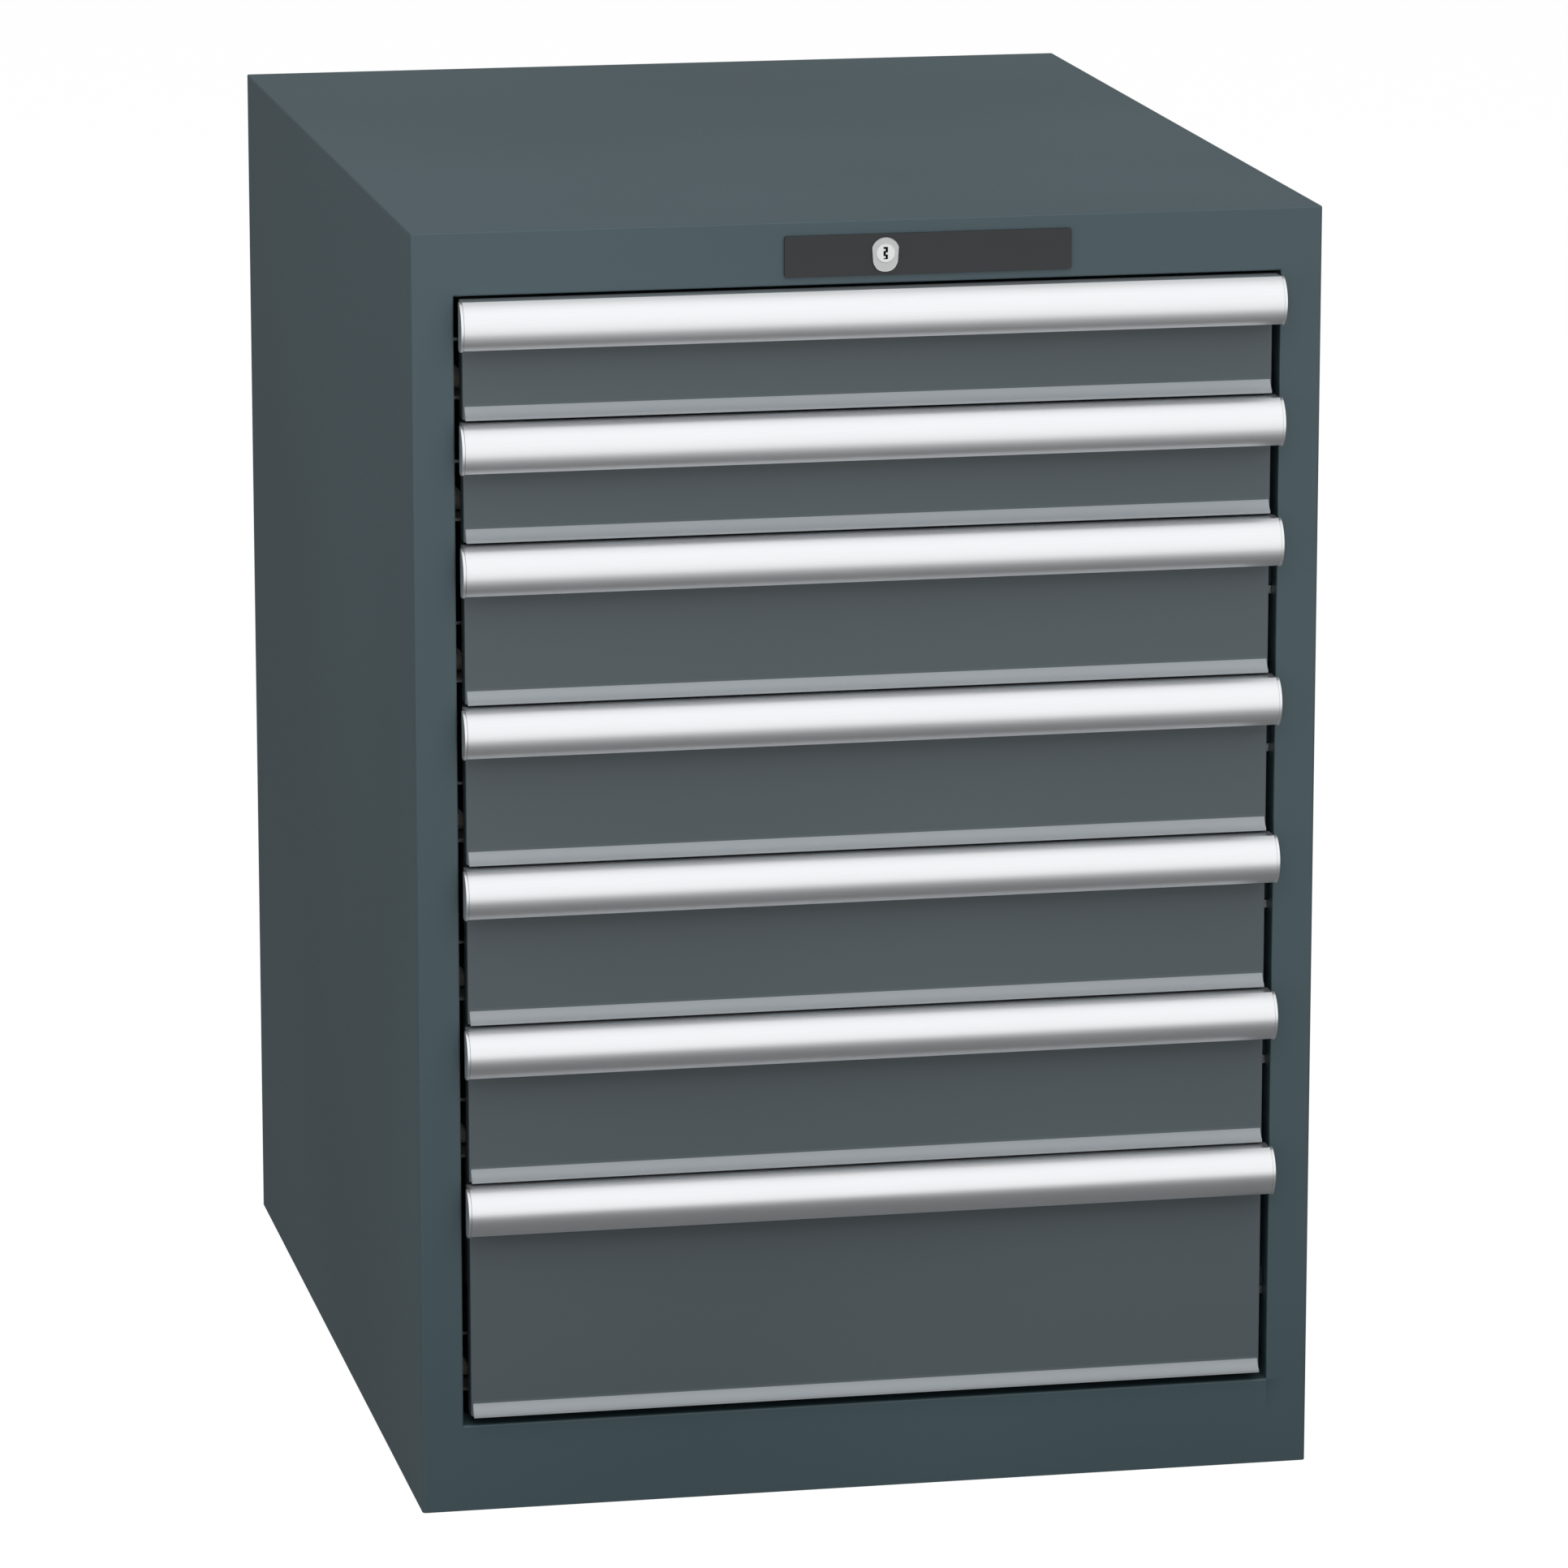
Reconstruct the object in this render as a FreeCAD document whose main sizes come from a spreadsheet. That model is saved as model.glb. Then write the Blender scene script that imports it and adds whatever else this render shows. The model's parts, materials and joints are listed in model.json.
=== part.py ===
import FreeCAD, Part

import math
import os
import re

import Sketcher

# Multi-drawer cabinet of folded sheet steel: seven full-extension drawers on differential roller
# slides, with one key lock in the top rail that bars them all.
# Frame: millimetres, +Z up, the front faces -Y, the origin is the middle of the base on the floor.

Vector = FreeCAD.Vector

# The driving dimensions, in millimetres. Heights inside a drawer are counted from the drawer's base,
# and distances named start or place run backwards from the front of the cabinet.
SIZES = [
    ("cabinet_width", 564, "housing, side to side"),
    ("cabinet_depth", 725, "housing, front to back"),
    ("cabinet_height", 800, "housing, floor to top"),
    ("sheet_gauge", 1.5, "steel sheet of housing, trays and fronts"),
    ("stile_width", 26, "face of the front post folded from a side wall"),
    ("stile_return", 28, "flange behind that face, beside the drawers"),
    ("top_rail_height", 39, "face above the drawers"),
    ("base_rail_height", 55, "face below the drawers"),
    ("rail_upturn", 14, "stiffening flange behind the two rails"),
    ("back_flange", 12, "flange of the back wall inside each side wall"),
    ("floor_hole_radius", 4.5, "hole for a bolt into a plinth or the floor"),
    ("floor_hole_across", 480, "side to side distance of the floor holes"),
    ("floor_hole_along", 600, "front to back distance of the floor holes"),
    ("upright_width", 30, "slotted post that carries the cabinet rails"),
    ("upright_gauge", 2, "its steel"),
    ("upright_face", 258, "its face, out from the middle of the cabinet"),
    ("front_upright_start", 70, "front post"),
    ("rear_upright_start", 600, "rear post"),
    ("slot_ease", 0.5, "room round a hook in its slot of a post"),
    ("drawer_base", 60, "lowest drawer above the floor"),
    ("shallow_front", 75, "height that a shallow drawer takes"),
    ("middle_front", 100, "height that a middle drawer takes"),
    ("deep_front", 150, "height that the deep drawer takes"),
    ("front_width", 502, "drawer front"),
    ("front_depth", 12.5, "drawer front, folded edges"),
    ("front_top_gap", 1.5, "gap above a drawer front"),
    ("front_base_gap", 1, "gap below a drawer front"),
    ("lip_width", 500, "flared lip along the foot of a front"),
    ("lip_reach", 5, "its reach in front of the face"),
    ("lip_top", 11, "where it leaves the face"),
    ("lip_edge", 1.5, "its front edge"),
    ("lip_radius", 9.725, "its hollow curve"),
    ("handle_length", 510, "full-width handle strip with its caps"),
    ("handle_top_gap", 0.5, "gap above it"),
    ("handle_tall", 29, "height of its curved face"),
    ("handle_top_reach", 13, "upper edge in front of the drawer front"),
    ("handle_foot_reach", 16.5, "lower edge in front of the drawer front"),
    ("handle_radius", 18.5, "outer curve of its face"),
    ("handle_wall", 2, "wall of the extrusion"),
    ("grip_top_reach", 12.43, "inner curve, upper end"),
    ("grip_foot_reach", 15.09, "inner curve, lower end"),
    ("grip_foot_drop", 27.58, "inner curve, depth of its lower end"),
    ("grip_radius", 16.5, "inner curve"),
    ("handle_web_drop", 12, "flange that sits on the drawer front"),
    ("cap_gauge", 2, "cap on each end of the strip"),
    ("cap_reach", 10, "its rear edge in front of the drawer front"),
    ("cap_drop", 1, "its foot below the strip"),
    ("tray_width", 462, "drawer tray, outside"),
    ("tray_length", 615, "drawer tray, outside"),
    ("tray_low", 7, "underside of a tray above its drawer's base"),
    ("tray_top_gap", 9.5, "top of a tray below the top of its drawer's space"),
    ("hem_reach", 7, "stiffening hem along the top of a tray's sides"),
    ("runner_start", 16, "drawer runner"),
    ("runner_length", 612, "drawer runner"),
    ("runner_gauge", 2, "drawer runner"),
    ("runner_low", 26, "track of the runner"),
    ("runner_tall", 20, "web of the runner on the tray"),
    ("runner_reach", 249.5, "edge of the track, out from the middle"),
    ("catch_start", 19.5, "catch that the lock finger bars"),
    ("catch_length", 14, "foot of the catch on the tray"),
    ("catch_low", 55.3, "underside of the catch"),
    ("catch_tall", 8.2, "catch"),
    ("catch_reach", 253, "tip of the catch, out from the middle"),
    ("guide_start", 32, "cabinet rail"),
    ("guide_length", 648, "cabinet rail"),
    ("guide_gauge", 2, "cabinet rail"),
    ("guide_low", 8, "underside of the cabinet rail"),
    ("guide_tall", 38, "cabinet rail"),
    ("guide_reach", 239, "open edge of the rail, out from the middle"),
    ("hook_rise", 35, "foot of a rail's hook above its drawer's base"),
    ("hook_tall", 5, "hook through a slot of a post"),
    ("hook_width", 8, "hook"),
    ("hook_reach", 5, "hook, out from the rail"),
    ("bar_start", 46, "bar of the roller carriage"),
    ("bar_length", 618, "bar"),
    ("bar_inner", 251, "inner face of the bar, out from the middle"),
    ("bar_gauge", 3, "bar"),
    ("bar_low", 13, "underside of the bar"),
    ("bar_tall", 28, "bar"),
    ("roller_radius", 7.7, "roller"),
    ("roller_inner", 241, "inner face of the roller, out from the middle"),
    ("lower_roller_height", 18, "rollers between cabinet rail and runner"),
    ("upper_roller_height", 36, "rollers between runner and rail's roof"),
    ("lower_front_place", 58, "roller that carries the open drawer"),
    ("lower_rear_place", 356, "roller at the rail's mouth when open"),
    ("upper_front_place", 308, "roller that holds the runner's tail down"),
    ("upper_rear_place", 652, "roller that holds the carriage's tail down"),
    ("lock_across", 8, "key axis, right of the middle"),
    ("lock_height", 780, "key axis above the floor"),
    ("plate_left", 62, "lock plate, left of the key axis"),
    ("plate_right", 116, "lock plate, right of the key axis"),
    ("plate_above", 11.5, "lock plate, above the key axis"),
    ("plate_below", 13.5, "lock plate, below the key axis"),
    ("plate_gauge", 2, "lock plate"),
    ("plate_corner", 1.5, "lock plate, corner radius"),
    ("shield_half", 8.2, "head of the lock body, half its width"),
    ("shield_shoulder", 3.5, "where its round top starts"),
    ("shield_top_radius", 8.6, "round top"),
    ("shield_waist", 7.6, "half width where it starts to taper"),
    ("shield_waist_drop", 3.5, "height of that place"),
    ("shield_foot_half", 4.4, "half width where its round foot starts"),
    ("shield_foot_drop", 9.2, "height of that place"),
    ("shield_foot_radius", 4.9, "round foot"),
    ("shield_gauge", 1.6, "head of the lock body"),
    ("barrel_radius", 7, "barrel of the lock body"),
    ("barrel_length", 16, "barrel behind the head"),
    ("barrel_clearance", 0.1, "round the barrel in plate and rail"),
    ("plug_radius", 5.7, "key plug"),
    ("plug_bore", 5.75, "bore of the lock body"),
    ("plug_proud", 0.4, "plug in front of the head"),
    ("plug_length", 18.4, "key plug without its tang"),
    ("key_slot_half", 0.9, "key slot, half its width"),
    ("key_slot_rise", 3.7, "key slot, half its height"),
    ("key_slot_depth", 12, "key slot"),
    ("tang_half", 3, "square tang that turns the cam"),
    ("tang_length", 2, "square tang"),
    ("nut_half", 10, "nut on the barrel, across half its flats"),
    ("nut_gauge", 3, "nut"),
    ("cam_half", 4.5, "cam plate, half its width"),
    ("cam_gauge", 2, "cam plate"),
    ("cam_arm", 8, "cam pin from the key axis"),
    ("cam_pin_radius", 1.5, "cam pin"),
    ("cam_pin_length", 3.5, "cam pin"),
    ("slide_place", 18, "lock slide"),
    ("slide_gauge", 2, "lock slide"),
    ("slide_low", 1.5, "strip of the slide above the key axis"),
    ("slide_high", 12, "strip of the slide above the key axis"),
    ("slide_tail", 20, "its end left of the key axis"),
    ("slide_head_start", 235, "its head, right of the key axis"),
    ("slide_head_end", 259, "its head, right of the key axis"),
    ("slide_head_drop", 11, "its head below the key axis"),
    ("cam_slot_half", 2.1, "upright slot for the cam pin, half its width"),
    ("wedge_slot_half", 2.8, "inclined slot for the bar's pin, half its width"),
    ("lock_travel", 11.3, "travel of slide and bar"),
    ("bar_pin_across", 262.5, "pin of the lock bar, out from the middle"),
    ("bar_pin_drop", 5, "pin of the lock bar below the key axis"),
    ("bar_pin_radius", 2.5, "pin of the lock bar"),
    ("bar_pin_length", 7, "pin of the lock bar"),
    ("lock_bar_half", 4, "lock bar, half its width"),
    ("lock_bar_place", 14, "lock bar"),
    ("lock_bar_gauge", 3, "lock bar"),
    ("lock_bar_foot", 70, "lower end of the lock bar above the floor"),
    ("lock_bar_head", 6, "its upper end above its pin"),
    ("finger_low", 47, "finger of the lock bar, above its drawer's base"),
    ("finger_tall", 5, "finger"),
    ("finger_reach", 240, "tip of the finger, out from the middle"),
    ("window_ease", 1.5, "room round a finger in the side wall"),
    ("block_clearance", 0.3, "room in a guide block"),
    ("block_wall", 4, "guide block"),
    ("block_tall", 12, "guide block"),
    ("low_block", 76, "lock bar's guide blocks above the floor"),
    ("mid_block", 410, "lock bar's guide blocks above the floor"),
    ("high_block", 700, "lock bar's guide blocks above the floor"),
    ("near_block", 60, "lock slide's guide blocks right of the middle"),
    ("far_block", 200, "lock slide's guide blocks right of the middle"),
]

ALIASES = {alias for alias, number, meaning in SIZES}

# The drawers from the top down, by the size cell that holds their height.
DRAWERS = ["shallow_front"] * 2 + ["middle_front"] * 4 + ["deep_front"]

# Formulas that many pieces share.
FRONT = "-cabinet_depth / 2"
BACK = "cabinet_depth / 2"
SIDE = "cabinet_width / 2"
OPENING = "(cabinet_width / 2 - stile_width)"
CEILING = "(cabinet_height - sheet_gauge)"
BAR_PIN_HEIGHT = "(lock_height - bar_pin_drop)"

doc = FreeCAD.newDocument("drawer_cabinet")
sheet = doc.addObject("Spreadsheet::Sheet", "Sizes")
for row, (alias, number, meaning) in enumerate(SIZES, start=1):
    sheet.set("A%d" % row, meaning)
    sheet.set("B%d" % row, str(number))
    sheet.setAlias("B%d" % row, alias)
doc.recompute()

nodes = []


def sized(formula):
    """Gives a formula in which each name of a size points at its cell of the sheet."""
    def cell(word):
        name = word.group()
        return "Sizes." + name if name in ALIASES else name
    return re.sub(r"[a-z]\w+", cell, str(formula))


def value(formula):
    """Gives the number that a formula stands for."""
    return float(sheet.evalExpression(sized(formula)))


def bind(thing, size, formula):
    """Binds a size of an object to a formula on the sheet."""
    thing.setExpression(size, sized(formula))


def place(thing, across=None, back=None, up=None):
    """Binds the Placement of an object to formulas."""
    for axis, formula in zip("xyz", (across, back, up)):
        if formula is not None:
            bind(thing, ".Placement.Base." + axis, formula)


def behind(distance):
    """Gives the formula of a place that is so far behind the front of the cabinet."""
    return "(-cabinet_depth / 2 + %s)" % distance


def base_of(number):
    """Gives the formula for the height of a drawer's base: the drawers below it, added up."""
    return "(" + " + ".join(["drawer_base"] + DRAWERS[number:]) + ")"


def new_body(label):
    """Starts a body."""
    body = doc.addObject("PartDesign::Body", label)
    body.Label = label
    return body


def node(thing, label=None):
    """Marks an object as one named piece of the cabinet."""
    if label is not None:
        thing.Label = label
    nodes.append(thing)
    return thing


def sketch_on(body, plane, lift=0):
    """Starts a sketch on an origin plane of its own body, lifted off it by a formula."""
    sketch = body.newObject("Sketcher::SketchObject", body.Label + "_sketch")
    support = next(part for part in body.Origin.OriginFeatures if part.Role == plane + "_Plane")
    sketch.AttachmentSupport = [(support, "")]
    sketch.MapMode = "FlatFace"
    bind(sketch, ".AttachmentOffset.Base.z", lift)
    return sketch


def constrain(sketch, kind, where, formula):
    """Adds one dimension to a sketch and binds it to a formula."""
    index = sketch.addConstraint(Sketcher.Constraint(kind, *where, value(formula)))
    sketch.setExpression("Constraints[%d]" % index, sized(formula))


def arc_between(start, stop, radius, turn):
    """Gives the short arc between two points that bends to the left or to the right."""
    chord = stop - start
    half = chord.Length / 2
    aside = Vector(-chord.y, chord.x, 0).normalize()
    rise = math.sqrt(max(radius ** 2 - half ** 2, 0))
    centre = (start + stop) / 2 + aside * (rise if turn == "left" else -rise)
    first, last = (start, stop) if turn == "left" else (stop, start)
    circle = Part.Circle(centre, Vector(0, 0, 1), radius)
    angles = [math.atan2(point.y - centre.y, point.x - centre.x) for point in (first, last)]
    return Part.ArcOfCircle(circle, angles[0], angles[1])


def outline(sketch, corners):
    """Draws a closed outline. A corner is (across, up), or (across, up, radius, turn) where an arc
    leaves it, and every coordinate and radius is a formula."""
    points = [Vector(value(corner[0]), value(corner[1]), 0) for corner in corners]
    sides = []
    for index, corner in enumerate(corners):
        start = points[index]
        stop = points[(index + 1) % len(points)]
        if len(corner) == 2:
            geometry = sketch.addGeometry(Part.LineSegment(start, stop), False)
            sides.append((geometry, 1, 2))
            continue
        radius, turn = corner[2:]
        geometry = sketch.addGeometry(arc_between(start, stop, value(radius), turn), False)
        sides.append((geometry, 1, 2) if turn == "left" else (geometry, 2, 1))
    for index, (geometry, start, stop) in enumerate(sides):
        following = sides[(index + 1) % len(sides)]
        sketch.addConstraint(Sketcher.Constraint("Coincident", geometry, stop, following[0], following[1]))
    for corner, (geometry, start, stop) in zip(corners, sides):
        constrain(sketch, "DistanceX", (-1, 1, geometry, start), corner[0])
        constrain(sketch, "DistanceY", (-1, 1, geometry, start), corner[1])
        if len(corner) == 4 and not is_half_round(corner, corners):
            constrain(sketch, "Radius", (geometry,), corner[2])


def is_half_round(corner, corners):
    """Tells whether the arc that leaves a corner is a half circle, which its two ends already fix."""
    following = corners[(corners.index(corner) + 1) % len(corners)]
    start = Vector(value(corner[0]), value(corner[1]), 0)
    stop = Vector(value(following[0]), value(following[1]), 0)
    return abs((stop - start).Length - 2 * value(corner[2])) < 0.001


def rectangle(sketch, left, right, low, high):
    """Draws a rectangle between four formulas."""
    outline(sketch, [(left, low), (right, low), (right, high), (left, high)])


def circle(sketch, across, up, radius):
    """Draws a circle from three formulas."""
    centre = Vector(value(across), value(up), 0)
    geometry = sketch.addGeometry(Part.Circle(centre, Vector(0, 0, 1), value(radius)), False)
    constrain(sketch, "DistanceX", (-1, 1, geometry, 3), across)
    constrain(sketch, "DistanceY", (-1, 1, geometry, 3), up)
    constrain(sketch, "Radius", (geometry,), radius)


def pad(body, sketch, length, both_ways=False, backwards=False):
    """Adds a sketch's outline to its body, pushed out by a length."""
    feature = body.newObject("PartDesign::Pad", body.Label + "_pad")
    feature.Profile = sketch
    feature.Midplane = both_ways
    feature.Reversed = backwards
    bind(feature, "Length", length)
    sketch.Visibility = False
    return feature


def pocket(body, sketch, depth, both_ways=False, backwards=False):
    """Cuts a sketch's outline out of its body, and makes sure that it cuts."""
    doc.recompute()
    before = body.Shape.Volume
    feature = body.newObject("PartDesign::Pocket", body.Label + "_pocket")
    feature.Profile = sketch
    feature.Midplane = both_ways
    feature.Reversed = backwards
    bind(feature, "Length", depth)
    doc.recompute()
    if not body.Shape.Volume < before - 0.001:
        raise RuntimeError(body.Label + ": a pocket cuts nothing")
    return feature


def link_to(thing, label):
    """Gives a second copy of an object, with a Placement of its own."""
    link = doc.addObject("App::Link", label)
    link.LinkedObject = thing
    link.Label = label
    return link


def group(label, parts):
    """Joins separate solids into one named group."""
    compound = doc.addObject("Part::Compound", label)
    compound.Label = label
    compound.Links = parts
    return compound


def mirrored(thing, label):
    """Gives the right-hand twin of a left-hand piece."""
    twin = doc.addObject("Part::Mirroring", label)
    twin.Label = label
    twin.Source = thing
    twin.Base = Vector(0, 0, 0)
    twin.Normal = Vector(1, 0, 0)
    return twin


def block(label, left, right, near, far, low, high):
    """Gives a plain block between six formulas."""
    box = doc.addObject("Part::Box", label)
    box.Label = label
    bind(box, "Length", "(%s) - (%s)" % (right, left))
    bind(box, "Width", "(%s) - (%s)" % (far, near))
    bind(box, "Height", "(%s) - (%s)" % (high, low))
    place(box, left, near, low)
    return box


# Housing: two side walls, each folded into its front post, and a cover, base and back between them.

def side_wall(label, sign):
    """A side wall with the post of the front frame folded from the same sheet."""
    body = new_body(label)
    plan = sketch_on(body, "XY", "sheet_gauge")
    outer = sign + SIDE
    inner = sign + "(cabinet_width / 2 - sheet_gauge)"
    post = sign + OPENING
    post_inner = sign + "(cabinet_width / 2 - stile_width + sheet_gauge)"
    outline(plan, [
        (outer, FRONT), (outer, BACK), (inner, BACK), (inner, behind("sheet_gauge")),
        (post_inner, behind("sheet_gauge")), (post_inner, behind("stile_return")),
        (post, behind("stile_return")), (post, FRONT),
    ])
    pad(body, plan, "cabinet_height - 2 * sheet_gauge")
    return node(body)


def lock_windows(body):
    """Cuts the windows in the right post through which the fingers and the slide of the lock reach."""
    windows = sketch_on(body, "YZ", OPENING + " - 1")
    near = behind("lock_bar_place - window_ease")
    far = behind("lock_bar_place + lock_bar_gauge + window_ease")
    for number in range(1, len(DRAWERS) + 1):
        low = base_of(number) + " + finger_low - window_ease"
        high = base_of(number) + " + finger_low + finger_tall + lock_travel + window_ease"
        rectangle(windows, near, far, low, high)
    rectangle(windows, behind("slide_place - window_ease"), behind("slide_place + slide_gauge + window_ease"),
              "lock_height - slide_head_drop - window_ease", "lock_height + slide_high + window_ease")
    pocket(body, windows, "sheet_gauge + 2", backwards=True)


def frame_rail(body, level, away):
    """Adds a rail of the front frame to its panel: the face, the ledge at the opening and an upturn.
    The ledge lies at a level, and the panel lies away from it, above (+) or below (-)."""
    panel = CEILING if away == "+" else "sheet_gauge"
    section = sketch_on(body, "YZ")
    outline(section, [
        (FRONT, panel), (FRONT, level), (behind("stile_return"), level),
        (behind("stile_return"), "%s %s rail_upturn" % (level, away)),
        (behind("stile_return - sheet_gauge"), "%s %s rail_upturn" % (level, away)),
        (behind("stile_return - sheet_gauge"), "%s %s sheet_gauge" % (level, away)),
        (behind("sheet_gauge"), "%s %s sheet_gauge" % (level, away)),
        (behind("sheet_gauge"), panel),
    ])
    pad(body, section, "2 * " + OPENING, both_ways=True)


def top_cover():
    """The flat cover with the top rail of the front frame, which the lock's barrel goes through."""
    body = new_body("top_cover")
    plate = sketch_on(body, "XY", CEILING)
    rectangle(plate, "-" + SIDE, SIDE, FRONT, BACK)
    pad(body, plate, "sheet_gauge")
    frame_rail(body, "(cabinet_height - top_rail_height)", "+")
    hole = sketch_on(body, "XZ", BACK)
    circle(hole, "lock_across", "lock_height", "barrel_radius + barrel_clearance")
    pocket(body, hole, "2 * sheet_gauge", both_ways=True)
    return node(body)


def base_pan():
    """The flat base with the bottom rail of the front frame and four bolt holes."""
    body = new_body("base_pan")
    plate = sketch_on(body, "XY")
    rectangle(plate, "-" + SIDE, SIDE, FRONT, BACK)
    pad(body, plate, "sheet_gauge")
    frame_rail(body, "base_rail_height", "-")
    holes = sketch_on(body, "XY")
    for across in ("-floor_hole_across / 2", "floor_hole_across / 2"):
        for along in ("-floor_hole_along / 2", "floor_hole_along / 2"):
            circle(holes, across, along, "floor_hole_radius")
    pocket(body, holes, "4 * sheet_gauge", both_ways=True)
    return node(body)


def back_wall():
    """The back, with a flange along each side wall."""
    body = new_body("back_wall")
    plan = sketch_on(body, "XY", "sheet_gauge")
    side = "(cabinet_width / 2 - sheet_gauge)"
    flange = "(cabinet_width / 2 - 2 * sheet_gauge)"
    inner = "(cabinet_depth / 2 - sheet_gauge)"
    tip = "(cabinet_depth / 2 - sheet_gauge - back_flange)"
    outline(plan, [
        ("-" + side, BACK), ("-" + side, tip), ("-" + flange, tip), ("-" + flange, inner),
        (flange, inner), (flange, tip), (side, tip), (side, BACK),
    ])
    pad(body, plan, "cabinet_height - 2 * sheet_gauge")
    return node(body)


def upright(label, start):
    """A left-hand slotted post: a channel with its flanges on the side wall, and in its face a slot for
    the hook of each cabinet rail."""
    body = new_body(label)
    plan = sketch_on(body, "XY", "sheet_gauge")
    wall = "-(cabinet_width / 2 - sheet_gauge)"
    near = behind(start)
    far = behind(start + " + upright_width")
    outline(plan, [
        (wall, near), ("-upright_face", near), ("-upright_face", far), (wall, far),
        (wall, behind(start + " + upright_width - upright_gauge")),
        ("-(upright_face + upright_gauge)", behind(start + " + upright_width - upright_gauge")),
        ("-(upright_face + upright_gauge)", behind(start + " + upright_gauge")),
        (wall, behind(start + " + upright_gauge")),
    ])
    pad(body, plan, "cabinet_height - 2 * sheet_gauge")
    slots = sketch_on(body, "YZ", "-upright_face + 1")
    middle = behind(start + " + upright_width / 2")
    for number in range(1, len(DRAWERS) + 1):
        rectangle(slots, middle + " - hook_width / 2 - slot_ease", middle + " + hook_width / 2 + slot_ease",
                  base_of(number) + " + hook_rise - slot_ease",
                  base_of(number) + " + hook_rise + hook_tall + slot_ease")
    pocket(body, slots, "upright_gauge + 2")
    return body


def housing():
    """All that stands still round the drawers."""
    side_wall("side_wall_left", "-")
    right = side_wall("side_wall_right", "")
    lock_windows(right)
    top_cover()
    base_pan()
    back_wall()
    posts = [upright("upright_front", "front_upright_start"), upright("upright_rear", "rear_upright_start")]
    left_posts = node(group("uprights_left", posts))
    node(mirrored(left_posts, "uprights_right"))
    rails = []
    profile = guide_rail()
    for number in range(1, len(DRAWERS) + 1):
        rail = link_to(profile, "guide_rail_%d" % number)
        place(rail, up=base_of(number))
        rails.append(rail)
    left_rails = node(group("cabinet_rails_left", rails))
    node(mirrored(left_rails, "cabinet_rails_right"))


# Differential roller slides. A cabinet rail is a channel that opens towards the drawer. The runner's
# track lies level between two rows of rollers: the lower rollers roll on the floor of the channel and
# carry the track, the upper rollers roll under the channel's roof and hold the track down. All ride on
# one carriage, which therefore moves half as far as the drawer.

def guide_rail():
    """A left-hand cabinet rail at the height of a drawer's base of zero, hooked into its two posts."""
    body = new_body("guide_rail")
    section = sketch_on(body, "XZ", "-" + behind("guide_start"))
    web = "-guide_reach"
    floor = "guide_low"
    roof = "(guide_low + guide_tall)"
    outline(section, [
        ("-upright_face", floor), (web, floor), (web, floor + " + guide_gauge"),
        ("-(upright_face - guide_gauge)", floor + " + guide_gauge"),
        ("-(upright_face - guide_gauge)", roof + " - guide_gauge"),
        (web, roof + " - guide_gauge"), (web, roof), ("-upright_face", roof),
    ])
    pad(body, section, "guide_length", backwards=True)
    hooks = sketch_on(body, "YZ", "-upright_face")
    for start in ("front_upright_start", "rear_upright_start"):
        middle = behind(start + " + upright_width / 2")
        rectangle(hooks, middle + " - hook_width / 2", middle + " + hook_width / 2",
                  "hook_rise", "hook_rise + hook_tall")
    pad(body, hooks, "hook_reach", backwards=True)
    return body


def carriage_bar():
    """A left-hand carriage bar, which the rollers are riveted to."""
    body = new_body("carriage_bar")
    face = sketch_on(body, "YZ", "-(bar_inner + bar_gauge)")
    rectangle(face, behind("bar_start"), behind("bar_start + bar_length"), "bar_low", "bar_low + bar_tall")
    pad(body, face, "bar_gauge")
    return body


def roller_places():
    """Gives the place and height of each roller of a carriage."""
    return [
        ("lower_front_place", "lower_roller_height"), ("lower_rear_place", "lower_roller_height"),
        ("upper_front_place", "upper_roller_height"), ("upper_rear_place", "upper_roller_height"),
    ]


def roller_set():
    """The four rollers of a left-hand carriage bar."""
    roller = new_body("roller")
    face = sketch_on(roller, "YZ")
    circle(face, 0, 0, "roller_radius")
    pad(roller, face, "bar_inner - roller_inner")
    rollers = []
    for index, (distance, height) in enumerate(roller_places(), start=1):
        link = link_to(roller, "roller_%d" % index)
        place(link, "-bar_inner", behind(distance), height)
        rollers.append(link)
    return group("roller_set", rollers)


def carriages():
    """One carriage for each drawer: two bars, and the rollers on them."""
    bar = carriage_bar()
    rollers = roller_set()
    right_bar = mirrored(bar, "carriage_bar_right")
    right_rollers = mirrored(rollers, "roller_set_right")
    for number in range(1, len(DRAWERS) + 1):
        bars = node(group("carriage_%d_bars" % number, [bar, right_bar]))
        place(bars, up=base_of(number))
        wheels = node(group("carriage_%d_rollers" % number, [rollers, right_rollers]))
        place(wheels, up=base_of(number))


# Drawers: a tray, a folded front with a flared lip, a handle strip, and the steel that guides it.

def tray(number, height):
    """A drawer's tray, spot-welded from a floor, two end walls and two side walls with a hem along
    the top."""
    label = "drawer_%d_tray" % number
    tall = "(%s - tray_low - tray_top_gap)" % height
    outer = "(tray_width / 2)"
    inner = "(tray_width / 2 - sheet_gauge)"
    near = behind("front_depth")
    far = behind("front_depth + tray_length")
    side = new_body(label + "_side")
    section = sketch_on(side, "XZ", "-" + near)
    outline(section, [
        ("-" + outer, 0), ("-" + inner, 0), ("-" + inner, tall), ("-%s - hem_reach" % outer, tall),
        ("-%s - hem_reach" % outer, tall + " - sheet_gauge"), ("-" + outer, tall + " - sheet_gauge"),
    ])
    pad(side, section, "tray_length", backwards=True)
    sheets = [
        side,
        mirrored(side, label + "_side_right"),
        block(label + "_floor", "-" + inner, inner, near, far, 0, "sheet_gauge"),
        block(label + "_near_end", "-" + inner, inner, near, near + " + sheet_gauge", "sheet_gauge", tall),
        block(label + "_far_end", "-" + inner, inner, far + " - sheet_gauge", far, "sheet_gauge", tall),
    ]
    welded = node(group(label, sheets))
    place(welded, up=base_of(number) + " + tray_low")


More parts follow.
